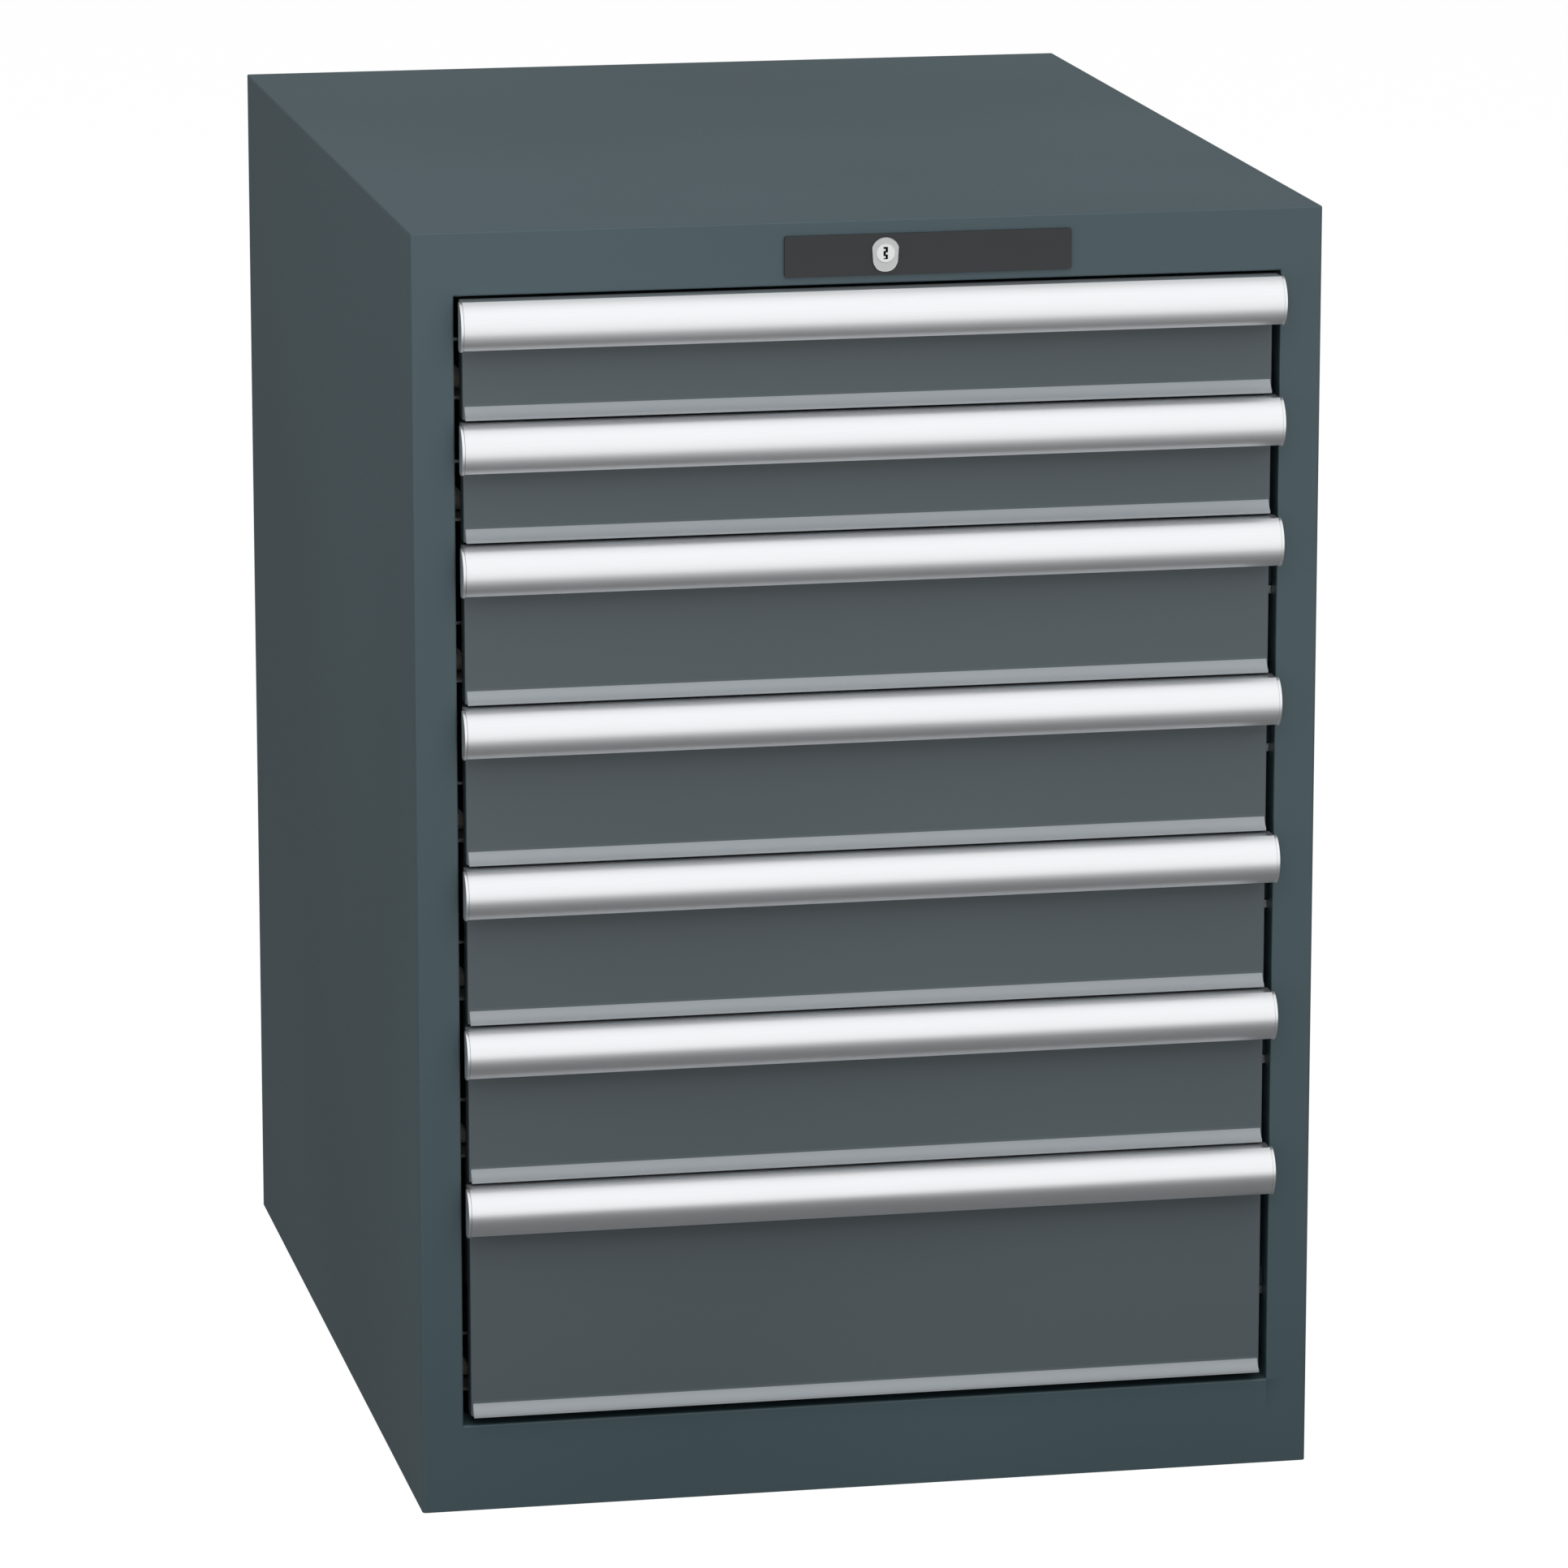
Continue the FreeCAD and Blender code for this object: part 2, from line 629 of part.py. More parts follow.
def drawer_front(number, height):
    """A drawer's front: a pan folded back all round, and a lip that flares forward at its foot."""
    body = new_body("drawer_%d_front" % number)
    half = "(front_width / 2)"
    low = "front_base_gap"
    high = "(%s - front_top_gap)" % height
    face = sketch_on(body, "XZ", BACK)
    rectangle(face, "-" + half, half, low, high)
    pad(body, face, "front_depth", backwards=True)
    hollow = sketch_on(body, "XZ", "-" + behind("front_depth"))
    rectangle(hollow, "-%s + sheet_gauge" % half, half + " - sheet_gauge",
              low + " + sheet_gauge", high + " - sheet_gauge")
    pocket(body, hollow, "front_depth - sheet_gauge", backwards=True)
    lip = sketch_on(body, "YZ")
    outline(lip, [
        (FRONT, "lip_top", "lip_radius", "right"), (behind("-lip_reach"), low + " + lip_edge"),
        (behind("-lip_reach"), low), (FRONT, low),
    ])
    pad(body, lip, "lip_width", both_ways=True)
    place(body, up=base_of(number))
    return node(body)


def handle_strip():
    """The extrusion of a handle, with its top at zero: a flange on the drawer front, a flat top and a
    curved face with a finger gap behind it."""
    body = new_body("handle_strip")
    section = sketch_on(body, "YZ")
    outline(section, [
        (FRONT, 0), (behind("-handle_top_reach"), 0, "handle_radius", "left"),
        (behind("-handle_foot_reach"), "-handle_tall"),
        (behind("-grip_foot_reach"), "-grip_foot_drop", "grip_radius", "right"),
        (behind("-grip_top_reach"), "-handle_wall"), (behind("-handle_wall"), "-handle_wall"),
        (behind("-handle_wall"), "-handle_web_drop"), (FRONT, "-handle_web_drop"),
    ])
    pad(body, section, "handle_length - 2 * cap_gauge", both_ways=True)
    return body


def handle_cap():
    """The cap on the left end of a handle strip: flush with its top and face, a little below its foot."""
    body = new_body("handle_cap")
    section = sketch_on(body, "YZ", "-handle_length / 2")
    outline(section, [
        (behind("-cap_reach"), 0), (behind("-handle_top_reach"), 0, "handle_radius", "left"),
        (behind("-handle_foot_reach"), "-handle_tall"),
        (behind("-handle_foot_reach + cap_drop"), "-(handle_tall + cap_drop)"),
        (behind("-cap_reach"), "-(handle_tall + cap_drop)"),
    ])
    pad(body, section, "cap_gauge")
    return body


def runner():
    """A left-hand drawer runner: a web on the tray's side and a level track for the rollers."""
    body = new_body("runner")
    section = sketch_on(body, "XZ", "-" + behind("runner_start"))
    inner = "-(tray_width / 2)"
    outer = "-(tray_width / 2 + runner_gauge)"
    outline(section, [
        (inner, "runner_low"), ("-runner_reach", "runner_low"),
        ("-runner_reach", "runner_low + runner_gauge"),
        (outer, "runner_low + runner_gauge"), (outer, "runner_low + runner_tall"),
        (inner, "runner_low + runner_tall"),
    ])
    pad(body, section, "runner_length", backwards=True)
    return body


def catch():
    """The bracket on the right of a tray that the finger of the lock bar bars."""
    body = new_body("catch")
    plan = sketch_on(body, "XY", "catch_low")
    wall = "(tray_width / 2)"
    face = "(tray_width / 2 + sheet_gauge)"
    outline(plan, [
        (wall, behind("catch_start")), ("catch_reach", behind("catch_start")),
        ("catch_reach", behind("catch_start + sheet_gauge")), (face, behind("catch_start + sheet_gauge")),
        (face, behind("catch_start + catch_length")), (wall, behind("catch_start + catch_length")),
    ])
    pad(body, plan, "catch_tall")
    return body


def drawers():
    """All drawers, from the top down."""
    left_runner = runner()
    right_runner = mirrored(left_runner, "runner_right")
    bracket = catch()
    strip = handle_strip()
    left_cap = handle_cap()
    right_cap = mirrored(left_cap, "handle_cap_right")
    for number, height in enumerate(DRAWERS, start=1):
        tray(number, height)
        drawer_front(number, height)
        handle = node(group("drawer_%d_handle" % number, [strip, left_cap, right_cap]))
        place(handle, up="%s + %s - handle_top_gap" % (base_of(number), height))
        steel = node(group("drawer_%d_runners" % number, [left_runner, right_runner, bracket]))
        place(steel, up=base_of(number))


# Lock. The key turns a cam whose pin pushes the slide along under the cover. An inclined slot in the
# head of the slide lifts the bar in the right post, and its fingers then stand before the catches.

def at_key(body, back):
    """Puts a lock piece, modelled round the key axis, at its place."""
    place(body, "lock_across", back, "lock_height")
    return node(body)


def lock_plate():
    """The dark plate on the top rail."""
    body = new_body("lock_plate")
    face = sketch_on(body, "XZ")
    rectangle(face, "-plate_left", "plate_right", "-plate_below", "plate_above")
    circle(face, 0, 0, "barrel_radius + barrel_clearance")
    pad(body, face, "plate_gauge")
    doc.recompute()
    blank = body.Tip
    upright_edges = [
        "Edge%d" % index for index, edge in enumerate(blank.Shape.Edges, start=1)
        if len(edge.Vertexes) == 2 and abs(edge.Length - value("plate_gauge")) < 0.001
        and abs(edge.tangentAt(edge.FirstParameter).y) > 0.99
        and abs(edge.Vertexes[0].X) > value("barrel_radius + 2")
    ]
    corners = body.newObject("PartDesign::Fillet", "lock_plate_corners")
    corners.Base = (blank, upright_edges)
    bind(corners, "Radius", "plate_corner")
    return at_key(body, FRONT)


def lock_body():
    """The lock's housing: a shield-shaped head on the plate, and a barrel with the plug's bore."""
    body = new_body("lock_body")
    head = sketch_on(body, "XZ")
    outline(head, [
        ("shield_half", "shield_shoulder", "shield_top_radius", "left"), ("-shield_half", "shield_shoulder"),
        ("-shield_waist", "-shield_waist_drop"),
        ("-shield_foot_half", "-shield_foot_drop", "shield_foot_radius", "left"),
        ("shield_foot_half", "-shield_foot_drop"), ("shield_waist", "-shield_waist_drop"),
    ])
    pad(body, head, "shield_gauge")
    barrel = sketch_on(body, "XZ")
    circle(barrel, 0, 0, "barrel_radius")
    pad(body, barrel, "barrel_length", backwards=True)
    bore = sketch_on(body, "XZ")
    circle(bore, 0, 0, "plug_bore")
    pocket(body, bore, "4 * barrel_length", both_ways=True)
    return at_key(body, FRONT + " - plate_gauge")


def lock_nut():
    """The nut that draws the lock body and the plate onto the rail."""
    body = new_body("lock_nut")
    face = sketch_on(body, "XZ")
    tip = "nut_half / cos(30)"
    flat = "nut_half * tan(30)"
    outline(face, [
        (tip, 0), (flat, "nut_half"), ("-" + flat, "nut_half"),
        ("-" + tip, 0), ("-" + flat, "-nut_half"), (flat, "-nut_half"),
    ])
    circle(face, 0, 0, "barrel_radius + barrel_clearance")
    pad(body, face, "nut_gauge", backwards=True)
    return at_key(body, behind("sheet_gauge"))


def lock_plug():
    """The plug that the key turns, with its slot upright, and a square tang behind."""
    body = new_body("lock_plug")
    face = sketch_on(body, "XZ")
    circle(face, 0, 0, "plug_radius")
    pad(body, face, "plug_length", backwards=True)
    tang = sketch_on(body, "XZ", "-plug_length")
    rectangle(tang, "-tang_half", "tang_half", "-tang_half", "tang_half")
    pad(body, tang, "tang_length", backwards=True)
    slot = sketch_on(body, "XZ")
    rectangle(slot, "-key_slot_half", "key_slot_half", "-key_slot_rise", "key_slot_rise")
    pocket(body, slot, "key_slot_depth")
    return at_key(body, FRONT + " - plate_gauge - shield_gauge - plug_proud")


def lock_cam():
    """The cam on the plug's tang, with its pin on an arm up to the left."""
    body = new_body("lock_cam")
    lean = "cam_half * cos(45)"
    arm = "cam_arm * cos(45)"
    face = sketch_on(body, "XZ")
    outline(face, [
        ("-(%s + %s)" % (arm, lean), "%s - %s" % (arm, lean)),
        ("-" + lean, "-" + lean, "cam_half", "left"),
        (lean, lean),
        ("-(%s - %s)" % (arm, lean), "%s + %s" % (arm, lean), "cam_half", "left"),
    ])
    rectangle(face, "-tang_half", "tang_half", "-tang_half", "tang_half")
    pad(body, face, "cam_gauge", backwards=True)
    pin = sketch_on(body, "XZ", "-cam_gauge")
    circle(pin, "-" + arm, arm, "cam_pin_radius")
    pad(body, pin, "cam_pin_length", backwards=True)
    return at_key(body, FRONT + " - plate_gauge - shield_gauge - plug_proud + plug_length")


def lock_slide():
    """The flat slide under the cover, with an upright slot for the cam and an inclined one for the bar."""
    body = new_body("lock_slide")
    face = sketch_on(body, "XZ")
    outline(face, [
        ("-slide_tail", "slide_low"), ("slide_head_start", "slide_low"),
        ("slide_head_start", "-slide_head_drop"), ("slide_head_end", "-slide_head_drop"),
        ("slide_head_end", "slide_high"), ("-slide_tail", "slide_high"),
    ])
    pad(body, face, "slide_gauge", backwards=True)
    slots = sketch_on(body, "XZ")
    arm = "cam_arm * cos(45)"
    rectangle(slots, "-%s - cam_slot_half" % arm, "-%s + cam_slot_half" % arm,
              arm + " - cam_slot_half", "cam_arm + cam_slot_half")
    start = ("(bar_pin_across - lock_across)", "(-bar_pin_drop)")
    stop = ("(bar_pin_across - lock_across - lock_travel)", "(-bar_pin_drop + lock_travel)")
    aside = "wedge_slot_half * cos(45)"
    outline(slots, [
        ("%s + %s" % (start[0], aside), "%s + %s" % (start[1], aside)),
        ("%s + %s" % (stop[0], aside), "%s + %s" % (stop[1], aside), "wedge_slot_half", "left"),
        ("%s - %s" % (stop[0], aside), "%s - %s" % (stop[1], aside)),
        ("%s - %s" % (start[0], aside), "%s - %s" % (start[1], aside), "wedge_slot_half", "left"),
    ])
    pocket(body, slots, "4 * slide_gauge", both_ways=True)
    return at_key(body, behind("slide_place"))


def lock_bar():
    """The bar in the right post: a flat strip with one finger for each drawer, and a pin at its head."""
    body = new_body("lock_bar")
    face = sketch_on(body, "XZ")
    left = "bar_pin_across - lock_bar_half"
    corners = [("bar_pin_across + lock_bar_half", "lock_bar_foot"),
               ("bar_pin_across + lock_bar_half", BAR_PIN_HEIGHT + " + lock_bar_head"),
               (left, BAR_PIN_HEIGHT + " + lock_bar_head")]
    for number in range(1, len(DRAWERS) + 1):
        foot = base_of(number) + " + finger_low"
        corners += [(left, foot + " + finger_tall"), ("finger_reach", foot + " + finger_tall"),
                    ("finger_reach", foot), (left, foot)]
    corners.append((left, "lock_bar_foot"))
    outline(face, corners)
    pad(body, face, "lock_bar_gauge", backwards=True)
    pin = sketch_on(body, "XZ", "-lock_bar_gauge")
    circle(pin, "bar_pin_across", BAR_PIN_HEIGHT, "bar_pin_radius")
    pad(body, pin, "bar_pin_length - lock_bar_gauge", backwards=True)
    place(body, back=behind("lock_bar_place"))
    return node(body)


def guide_block(label, outer, bore):
    """A guide block: a block with a passage through it."""
    cut = doc.addObject("Part::Cut", label)
    cut.Label = label
    cut.Base = block(label + "_outer", *outer)
    cut.Tool = block(label + "_bore", *bore)
    return cut


def lock_guides():
    """The guide blocks: three in the right post round the bar, two under the cover round the slide."""
    parts = []
    ease = "block_clearance"
    for level in ("low_block", "mid_block", "high_block"):
        parts.append(guide_block(
            "bar_" + level,
            (OPENING + " + sheet_gauge", "bar_pin_across + lock_bar_half + %s + block_wall" % ease,
             behind("sheet_gauge"), behind("lock_bar_place + lock_bar_gauge + %s + block_wall" % ease),
             level, level + " + block_tall"),
            ("bar_pin_across - lock_bar_half - " + ease, "bar_pin_across + lock_bar_half + " + ease,
             behind("lock_bar_place - " + ease), behind("lock_bar_place + lock_bar_gauge + " + ease),
             level + " - 1", level + " + block_tall + 1")))
    for start in ("near_block", "far_block"):
        parts.append(guide_block(
            "slide_" + start,
            (start, start + " + block_tall",
             behind("slide_place - %s - block_wall" % ease),
             behind("slide_place + slide_gauge + %s + block_wall" % ease),
             "lock_height + slide_low - %s - block_wall / 2" % ease, CEILING),
            (start + " - 1", start + " + block_tall + 1",
             behind("slide_place - " + ease), behind("slide_place + slide_gauge + " + ease),
             "lock_height + slide_low - " + ease, "lock_height + slide_high + " + ease)))
    return node(group("lock_guides", parts))


def lock():
    """All pieces of the lock, from the key inwards."""
    lock_plate()
    lock_body()
    lock_nut()
    lock_plug()
    lock_cam()
    lock_slide()
    lock_bar()
    lock_guides()


def check():
    """Stops unless every object is sound and every piece is made of valid closed solids."""
    for thing in doc.Objects:
        if "Invalid" in thing.State or "Error" in thing.State:
            raise RuntimeError("%s is %s" % (thing.Label, thing.State))
    for piece in nodes:
        shape = piece.Shape
        if shape.isNull() or not shape.isValid() or not shape.Solids:
            raise RuntimeError(piece.Label + " has no valid shape")
        if any(not solid.isClosed() or solid.Volume <= 0 for solid in shape.Solids):
            raise RuntimeError(piece.Label + " is not closed")


def write():
    """Writes each piece to its own file."""
    os.makedirs("parts", exist_ok=True)
    for piece in nodes:
        piece.Shape.exportStep("parts/%s.step" % piece.Label)
    print(len(nodes), "pieces,", sum(len(piece.Shape.Solids) for piece in nodes), "solids")


housing()
carriages()
drawers()
lock()
doc.recompute()
check()
write()
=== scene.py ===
"""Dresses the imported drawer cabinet: folded edges, slotted trays, finishes, camera and studio."""

import json
import logging
import math
from collections.abc import Callable, Iterator
from contextlib import contextmanager
from dataclasses import dataclass, field
from enum import Enum

import bmesh
import bpy
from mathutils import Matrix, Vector

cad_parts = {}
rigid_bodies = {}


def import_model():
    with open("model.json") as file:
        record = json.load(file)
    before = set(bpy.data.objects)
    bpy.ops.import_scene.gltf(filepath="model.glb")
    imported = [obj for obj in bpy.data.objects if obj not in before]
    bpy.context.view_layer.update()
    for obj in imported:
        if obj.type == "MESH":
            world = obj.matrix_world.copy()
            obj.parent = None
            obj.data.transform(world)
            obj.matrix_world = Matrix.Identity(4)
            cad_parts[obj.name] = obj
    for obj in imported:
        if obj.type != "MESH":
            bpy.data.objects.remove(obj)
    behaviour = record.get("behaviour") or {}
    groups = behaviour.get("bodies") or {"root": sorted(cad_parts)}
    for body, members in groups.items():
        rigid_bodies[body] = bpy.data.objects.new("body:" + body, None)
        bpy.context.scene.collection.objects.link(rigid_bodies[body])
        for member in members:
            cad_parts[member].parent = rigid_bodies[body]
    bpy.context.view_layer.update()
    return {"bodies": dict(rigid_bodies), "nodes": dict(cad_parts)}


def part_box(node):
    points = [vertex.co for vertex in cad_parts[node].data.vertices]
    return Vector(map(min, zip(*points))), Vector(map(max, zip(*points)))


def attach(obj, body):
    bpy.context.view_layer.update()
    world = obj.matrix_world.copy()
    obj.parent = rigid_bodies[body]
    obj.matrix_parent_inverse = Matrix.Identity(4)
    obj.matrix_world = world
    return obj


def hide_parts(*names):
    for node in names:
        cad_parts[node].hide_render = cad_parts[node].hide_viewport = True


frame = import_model()

log = logging.getLogger("cabinet")

MM = 0.001
NEAR = 0.05 * MM  # Coordinates that lie closer than this count as equal.
STRAIGHT = 0.99  # A direction runs along an axis if its share of that axis is larger than this.
STEEP = 0.9  # The same for a face that may lean a little.
WELD = 0.002 * MM  # Corners that lie closer than this are merged.
FLAT_ANGLE = 0.5  # Faces that meet under less than this, in degrees, are made one.
EASE_ANGLE = 35.0  # Edges that turn by more than this, in degrees, are eased.
SMOOTH_ANGLE = 32.0  # Edges that turn by less than this, in degrees, are shaded smooth.
NORMAL_WEIGHT = 80  # Pull of the large faces on the shading of the roundings beside them.


class Slot(Enum):
    """The material slots of the cabinet."""

    HOUSING = "housing_paint"
    FRONT = "front_paint"
    TRAY = "tray_paint"
    HANDLE = "handle_aluminium"
    ZINC = "zinc_steel"
    ROLLER = "roller_plastic"
    PLASTIC = "black_plastic"
    NICKEL = "nickel"


class Element(Enum):
    """What is picked in edit mode."""

    EDGE = "EDGE"
    FACE = "FACE"


class Steps(Enum):
    """How many facets a rounding has."""

    CUT = 2
    HEM = 3
    CORNER = 4
    FOLD = 5


def at(value: float, target: float) -> bool:
    """Tells whether a coordinate is at a target."""
    return abs(value - target) < NEAR


def linear(red: int, green: int, blue: int) -> tuple[float, float, float, float]:
    """Turns an sRGB colour, from 0 to 255, into the linear colour of a shader.

    Args:
        red: Red share.
        green: Green share.
        blue: Blue share.

    Returns:
        The linear colour with an alpha of 1.
    """
    shares = [share / 255 for share in (red, green, blue)]
    curved = [((s + 0.055) / 1.055) ** 2.4 if s > 0.04045 else s / 12.92 for s in shares]
    return (*curved, 1.0)


class Shade:
    """A socket of a shader tree that takes part in Python arithmetic."""

    def __init__(self, sheet: "NodeSheet", socket: bpy.types.NodeSocket) -> None:
        """Keeps the tree and the socket."""
        self.sheet = sheet
        self.socket = socket

    def _apply(self, operation: str, *values: "Shade | float") -> "Shade":
        """Adds one Math node."""
        return self.sheet.node("ShaderNodeMath", {"operation": operation}, dict(enumerate(values)))

    def __add__(self, other: "Shade | float") -> "Shade":
        """Adds."""
        return self._apply("ADD", self, other)

    def __radd__(self, other: float) -> "Shade":
        """Adds to a number."""
        return self._apply("ADD", other, self)

    def __sub__(self, other: "Shade | float") -> "Shade":
        """Subtracts."""
        return self._apply("SUBTRACT", self, other)

    def __rsub__(self, other: float) -> "Shade":
        """Subtracts from a number."""
        return self._apply("SUBTRACT", other, self)

    def __mul__(self, other: "Shade | float") -> "Shade":
        """Multiplies."""
        return self._apply("MULTIPLY", self, other)

    def __rmul__(self, other: float) -> "Shade":
        """Multiplies a number."""
        return self._apply("MULTIPLY", other, self)

    def above(self, limit: float) -> "Shade":
        """Gives 1 where the value is above a limit, and 0 elsewhere."""
        return self._apply("GREATER_THAN", self, limit)

    def below(self, limit: float) -> "Shade":
        """Gives 1 where the value is below a limit, and 0 elsewhere."""
        return self._apply("LESS_THAN", self, limit)

    def larger(self, other: "Shade | float") -> "Shade":
        """Gives the larger of two values."""
        return self._apply("MAXIMUM", self, other)

    def between(self, low: float, high: float) -> "Shade":
        """Gives a smooth rise from 0 at one value to 1 at another."""
        return self.sheet.node(
            "ShaderNodeMapRange", {"interpolation_type": "SMOOTHSTEP"},
            {"Value": self, "From Min": low, "From Max": high},
        )


class NodeSheet:
    """The node tree of one material or world.

    Attributes:
        octave: Strength of each octave of a noise against the one before.
    """

    octave = 0.55

    def __init__(self, tree: bpy.types.NodeTree) -> None:
        """Empties the tree."""
        self.tree = tree
        tree.nodes.clear()

    def node(self, kind: str, settings: dict | None = None, inputs: dict | None = None,
             output: int | str = 0) -> Shade:
        """Adds one node.

        Args:
            kind: The node's type.
            settings: Its properties, which are set first.
            inputs: Values or links of its sockets, by name or number.
            output: The socket that is given back, by name or number.

        Returns:
            The chosen output, or the first input of a node that has none.
        """
        made = self.tree.nodes.new(kind)
        for name, setting in (settings or {}).items():
            setattr(made, name, setting)
        for name, given in (inputs or {}).items():
            if isinstance(given, Shade):
                self.tree.links.new(given.socket, made.inputs[name])
            else:
                made.inputs[name].default_value = given
        return Shade(self, made.outputs[output] if len(made.outputs) else made.inputs[0])

    def place(self, stretch: tuple[float, float, float] = (1, 1, 1)) -> Shade:
        """Gives the place on the piece, in metres, stretched along each axis."""
        where = self.node("ShaderNodeTexCoord", output="Object")
        if stretch == (1, 1, 1):
            return where
        return self.node("ShaderNodeMapping", {"vector_type": "POINT"},
                         {"Vector": where, "Scale": stretch})

    def depth(self) -> Shade:
        """Gives the place on the piece along Y, from front to back."""
        return self.node("ShaderNodeSeparateXYZ", {}, {"Vector": self.place()}, output="Y")

    def noise(self, size: float, detail: float,
              stretch: tuple[float, float, float] = (1, 1, 1)) -> Shade:
        """Gives a noise with grains of a size in metres, from 0 to 1."""
        return self.node(
            "ShaderNodeTexNoise", {"noise_dimensions": "3D"},
            {"Vector": self.place(stretch), "Scale": 1 / size, "Detail": detail,
             "Roughness": self.octave},
        )

    def mix(self, share: "Shade | float", first: "Shade | tuple", second: "Shade | tuple") -> Shade:
        """Mixes two colours, whose sockets are told by their numbers because all share one name."""
        return self.node(
            "ShaderNodeMix", {"data_type": "RGBA", "blend_type": "MIX"},
            {0: share, 6: first, 7: second}, output=2,
        )

    def bump(self, height: Shade, relief: float) -> Shade:
        """Turns a height from 0 to 1 into a normal, for a relief in metres."""
        return self.node("ShaderNodeBump", {}, {"Height": height, "Distance": relief})


@dataclass(frozen=True)
class Finish:
    """What every finish of the cabinet has.

    Attributes:
        title: The material's name.
        slot: The slot that it belongs to; not used.
        colour: Its colour as a screen shows it.
        roughness: Its mean roughness.
        tints: Factors of its darkest and its lightest places.
    """

    title: str
    slot: Slot
    colour: tuple[int, int, int]
    roughness: float
    tints: tuple[float, float] = (1.0, 1.0)

    def material(self) -> bpy.types.Material:
        """Gives the material, which is made once."""
        found = bpy.data.materials.get(self.title)
        if found is not None:
            return found
        made = bpy.data.materials.new(self.title)
        made.use_nodes = True
        sheet = NodeSheet(made.node_tree)
        surface = sheet.node("ShaderNodeBsdfPrincipled", {}, self.surface(sheet))
        sheet.node("ShaderNodeOutputMaterial", {}, {"Surface": surface})
        made.diffuse_color = linear(*self.colour)
        return made

    def surface(self, sheet: NodeSheet) -> dict:
        """Gives the sockets of the surface, which each kind of finish fills in."""
        raise NotImplementedError

    def tinted(self, factor: float) -> tuple[float, float, float, float]:
        """Gives the colour made lighter or darker by a factor."""
        red, green, blue, alpha = linear(*self.colour)
        return (red * factor, green * factor, blue * factor, alpha)

    def shaded(self, sheet: NodeSheet, share: Shade) -> Shade:
        """Gives the colour between its darkest and its lightest by a share."""
        dark, light = self.tints
        return sheet.mix(share, self.tinted(dark), self.tinted(light))


@dataclass(frozen=True)
class PowderCoat(Finish):
    """Satin powder coat: a fine orange peel, with a slight drift of tone.

    Attributes:
        drift_size: Size of the drift.
        speckle_size: Size of the speckle.
        speckle: Share of the speckle in the tone.
        contrast: Levels of the tone that are darkest and lightest.
        peel_size: Size of the peel.
        peel_relief: Its relief.
        peel_swing: Its swing of roughness.
        gloss: Strength of its reflections.
    """

    tints: tuple[float, float] = (0.93, 1.07)
    drift_size: float = 420 * MM
    speckle_size: float = 0.5 * MM
    speckle: float = 0.2
    contrast: tuple[float, float] = (0.3, 0.7)
    peel_size: float = 1.1 * MM
    peel_relief: float = 0.02 * MM
    peel_swing: float = 0.12
    gloss: float = 0.5

    def tone(self, sheet: NodeSheet) -> Shade:
        """Gives the colour, with its drift and a fine speckle."""
        drift = sheet.noise(self.drift_size, detail=1.0)
        speckle = sheet.noise(self.speckle_size, detail=0.0)
        share = drift * (1 - self.speckle) + speckle * self.speckle
        return self.shaded(sheet, share.between(*self.contrast))

    def surface(self, sheet: NodeSheet) -> dict:
        """Fills in the sockets of a powder coat."""
        peel = sheet.noise(self.peel_size, detail=2.0)
        return {
            "Base Color": self.tone(sheet),
            "Roughness": self.roughness + (peel - 0.5) * self.peel_swing,
            "Normal": sheet.bump(peel, self.peel_relief),
            "Specular IOR Level": self.gloss,
        }


@dataclass(frozen=True)
class FrontCoat(PowderCoat):
    """The powder coat of a drawer front, with a painted highlight on the lip along its foot.

    Attributes:
        face: Plane of the front's face, flush with the posts, which the lip stands out of.
        lip_reach: Distance before that plane at which the lip's painted highlight starts.
        painted_lip_highlight: The lip's painted highlight, a lighter colour as a screen shows it.
    """

    face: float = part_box("side_wall_right")[0].y
    lip_reach: float = 0.25 * MM
    # The lip's lighter colour is a painted highlight: the light that its upturned face catches,
    # painted into the front's paint.
    painted_lip_highlight: tuple[int, int, int] = (160, 166, 170)

    def tone(self, sheet: NodeSheet) -> Shade:
        """Gives the colour of the face, and the painted highlight of the lip in front of it."""
        # Everything before the face's plane gets the lighter colour: a painted highlight on the
        # lip.
        lip_highlight_mask = sheet.depth().below(self.face - self.lip_reach)
        return sheet.mix(lip_highlight_mask, super().tone(sheet), linear(*self.painted_lip_highlight))


@dataclass(frozen=True)
class ExtrudedMetal(Finish):
    """Anodised extrusion: faint draw lines along its length.

    Attributes:
        line_size: Distance of the draw lines.
        line_stretch: Stretch of the noise along them.
        line_relief: Their relief.
        line_swing: Their swing of roughness.
        cloud_size: Size of the clouds of the anodising.
        cloud_swing: Their swing of roughness.
        metal: Share of metal, which the anodised layer lowers.
    """

    tints: tuple[float, float] = (0.94, 1.03)
    line_size: float = 0.35 * MM
    line_stretch: float = 0.004
    line_relief: float = 0.004 * MM
    line_swing: float = 0.10
    cloud_size: float = 60 * MM
    cloud_swing: float = 0.04
    metal: float = 0.9

    def surface(self, sheet: NodeSheet) -> dict:
        """Fills in the sockets of drawn and anodised metal."""
        lines = sheet.noise(self.line_size, detail=3.0, stretch=(self.line_stretch, 1, 1))
        cloud = sheet.noise(self.cloud_size, detail=1.0)
        swing = (lines - 0.5) * self.line_swing
        return {
            "Base Color": self.shaded(sheet, lines),
            "Roughness": self.roughness + swing + (cloud - 0.5) * self.cloud_swing,
            "Metallic": self.metal,
            "Normal": sheet.bump(lines, self.line_relief),
        }


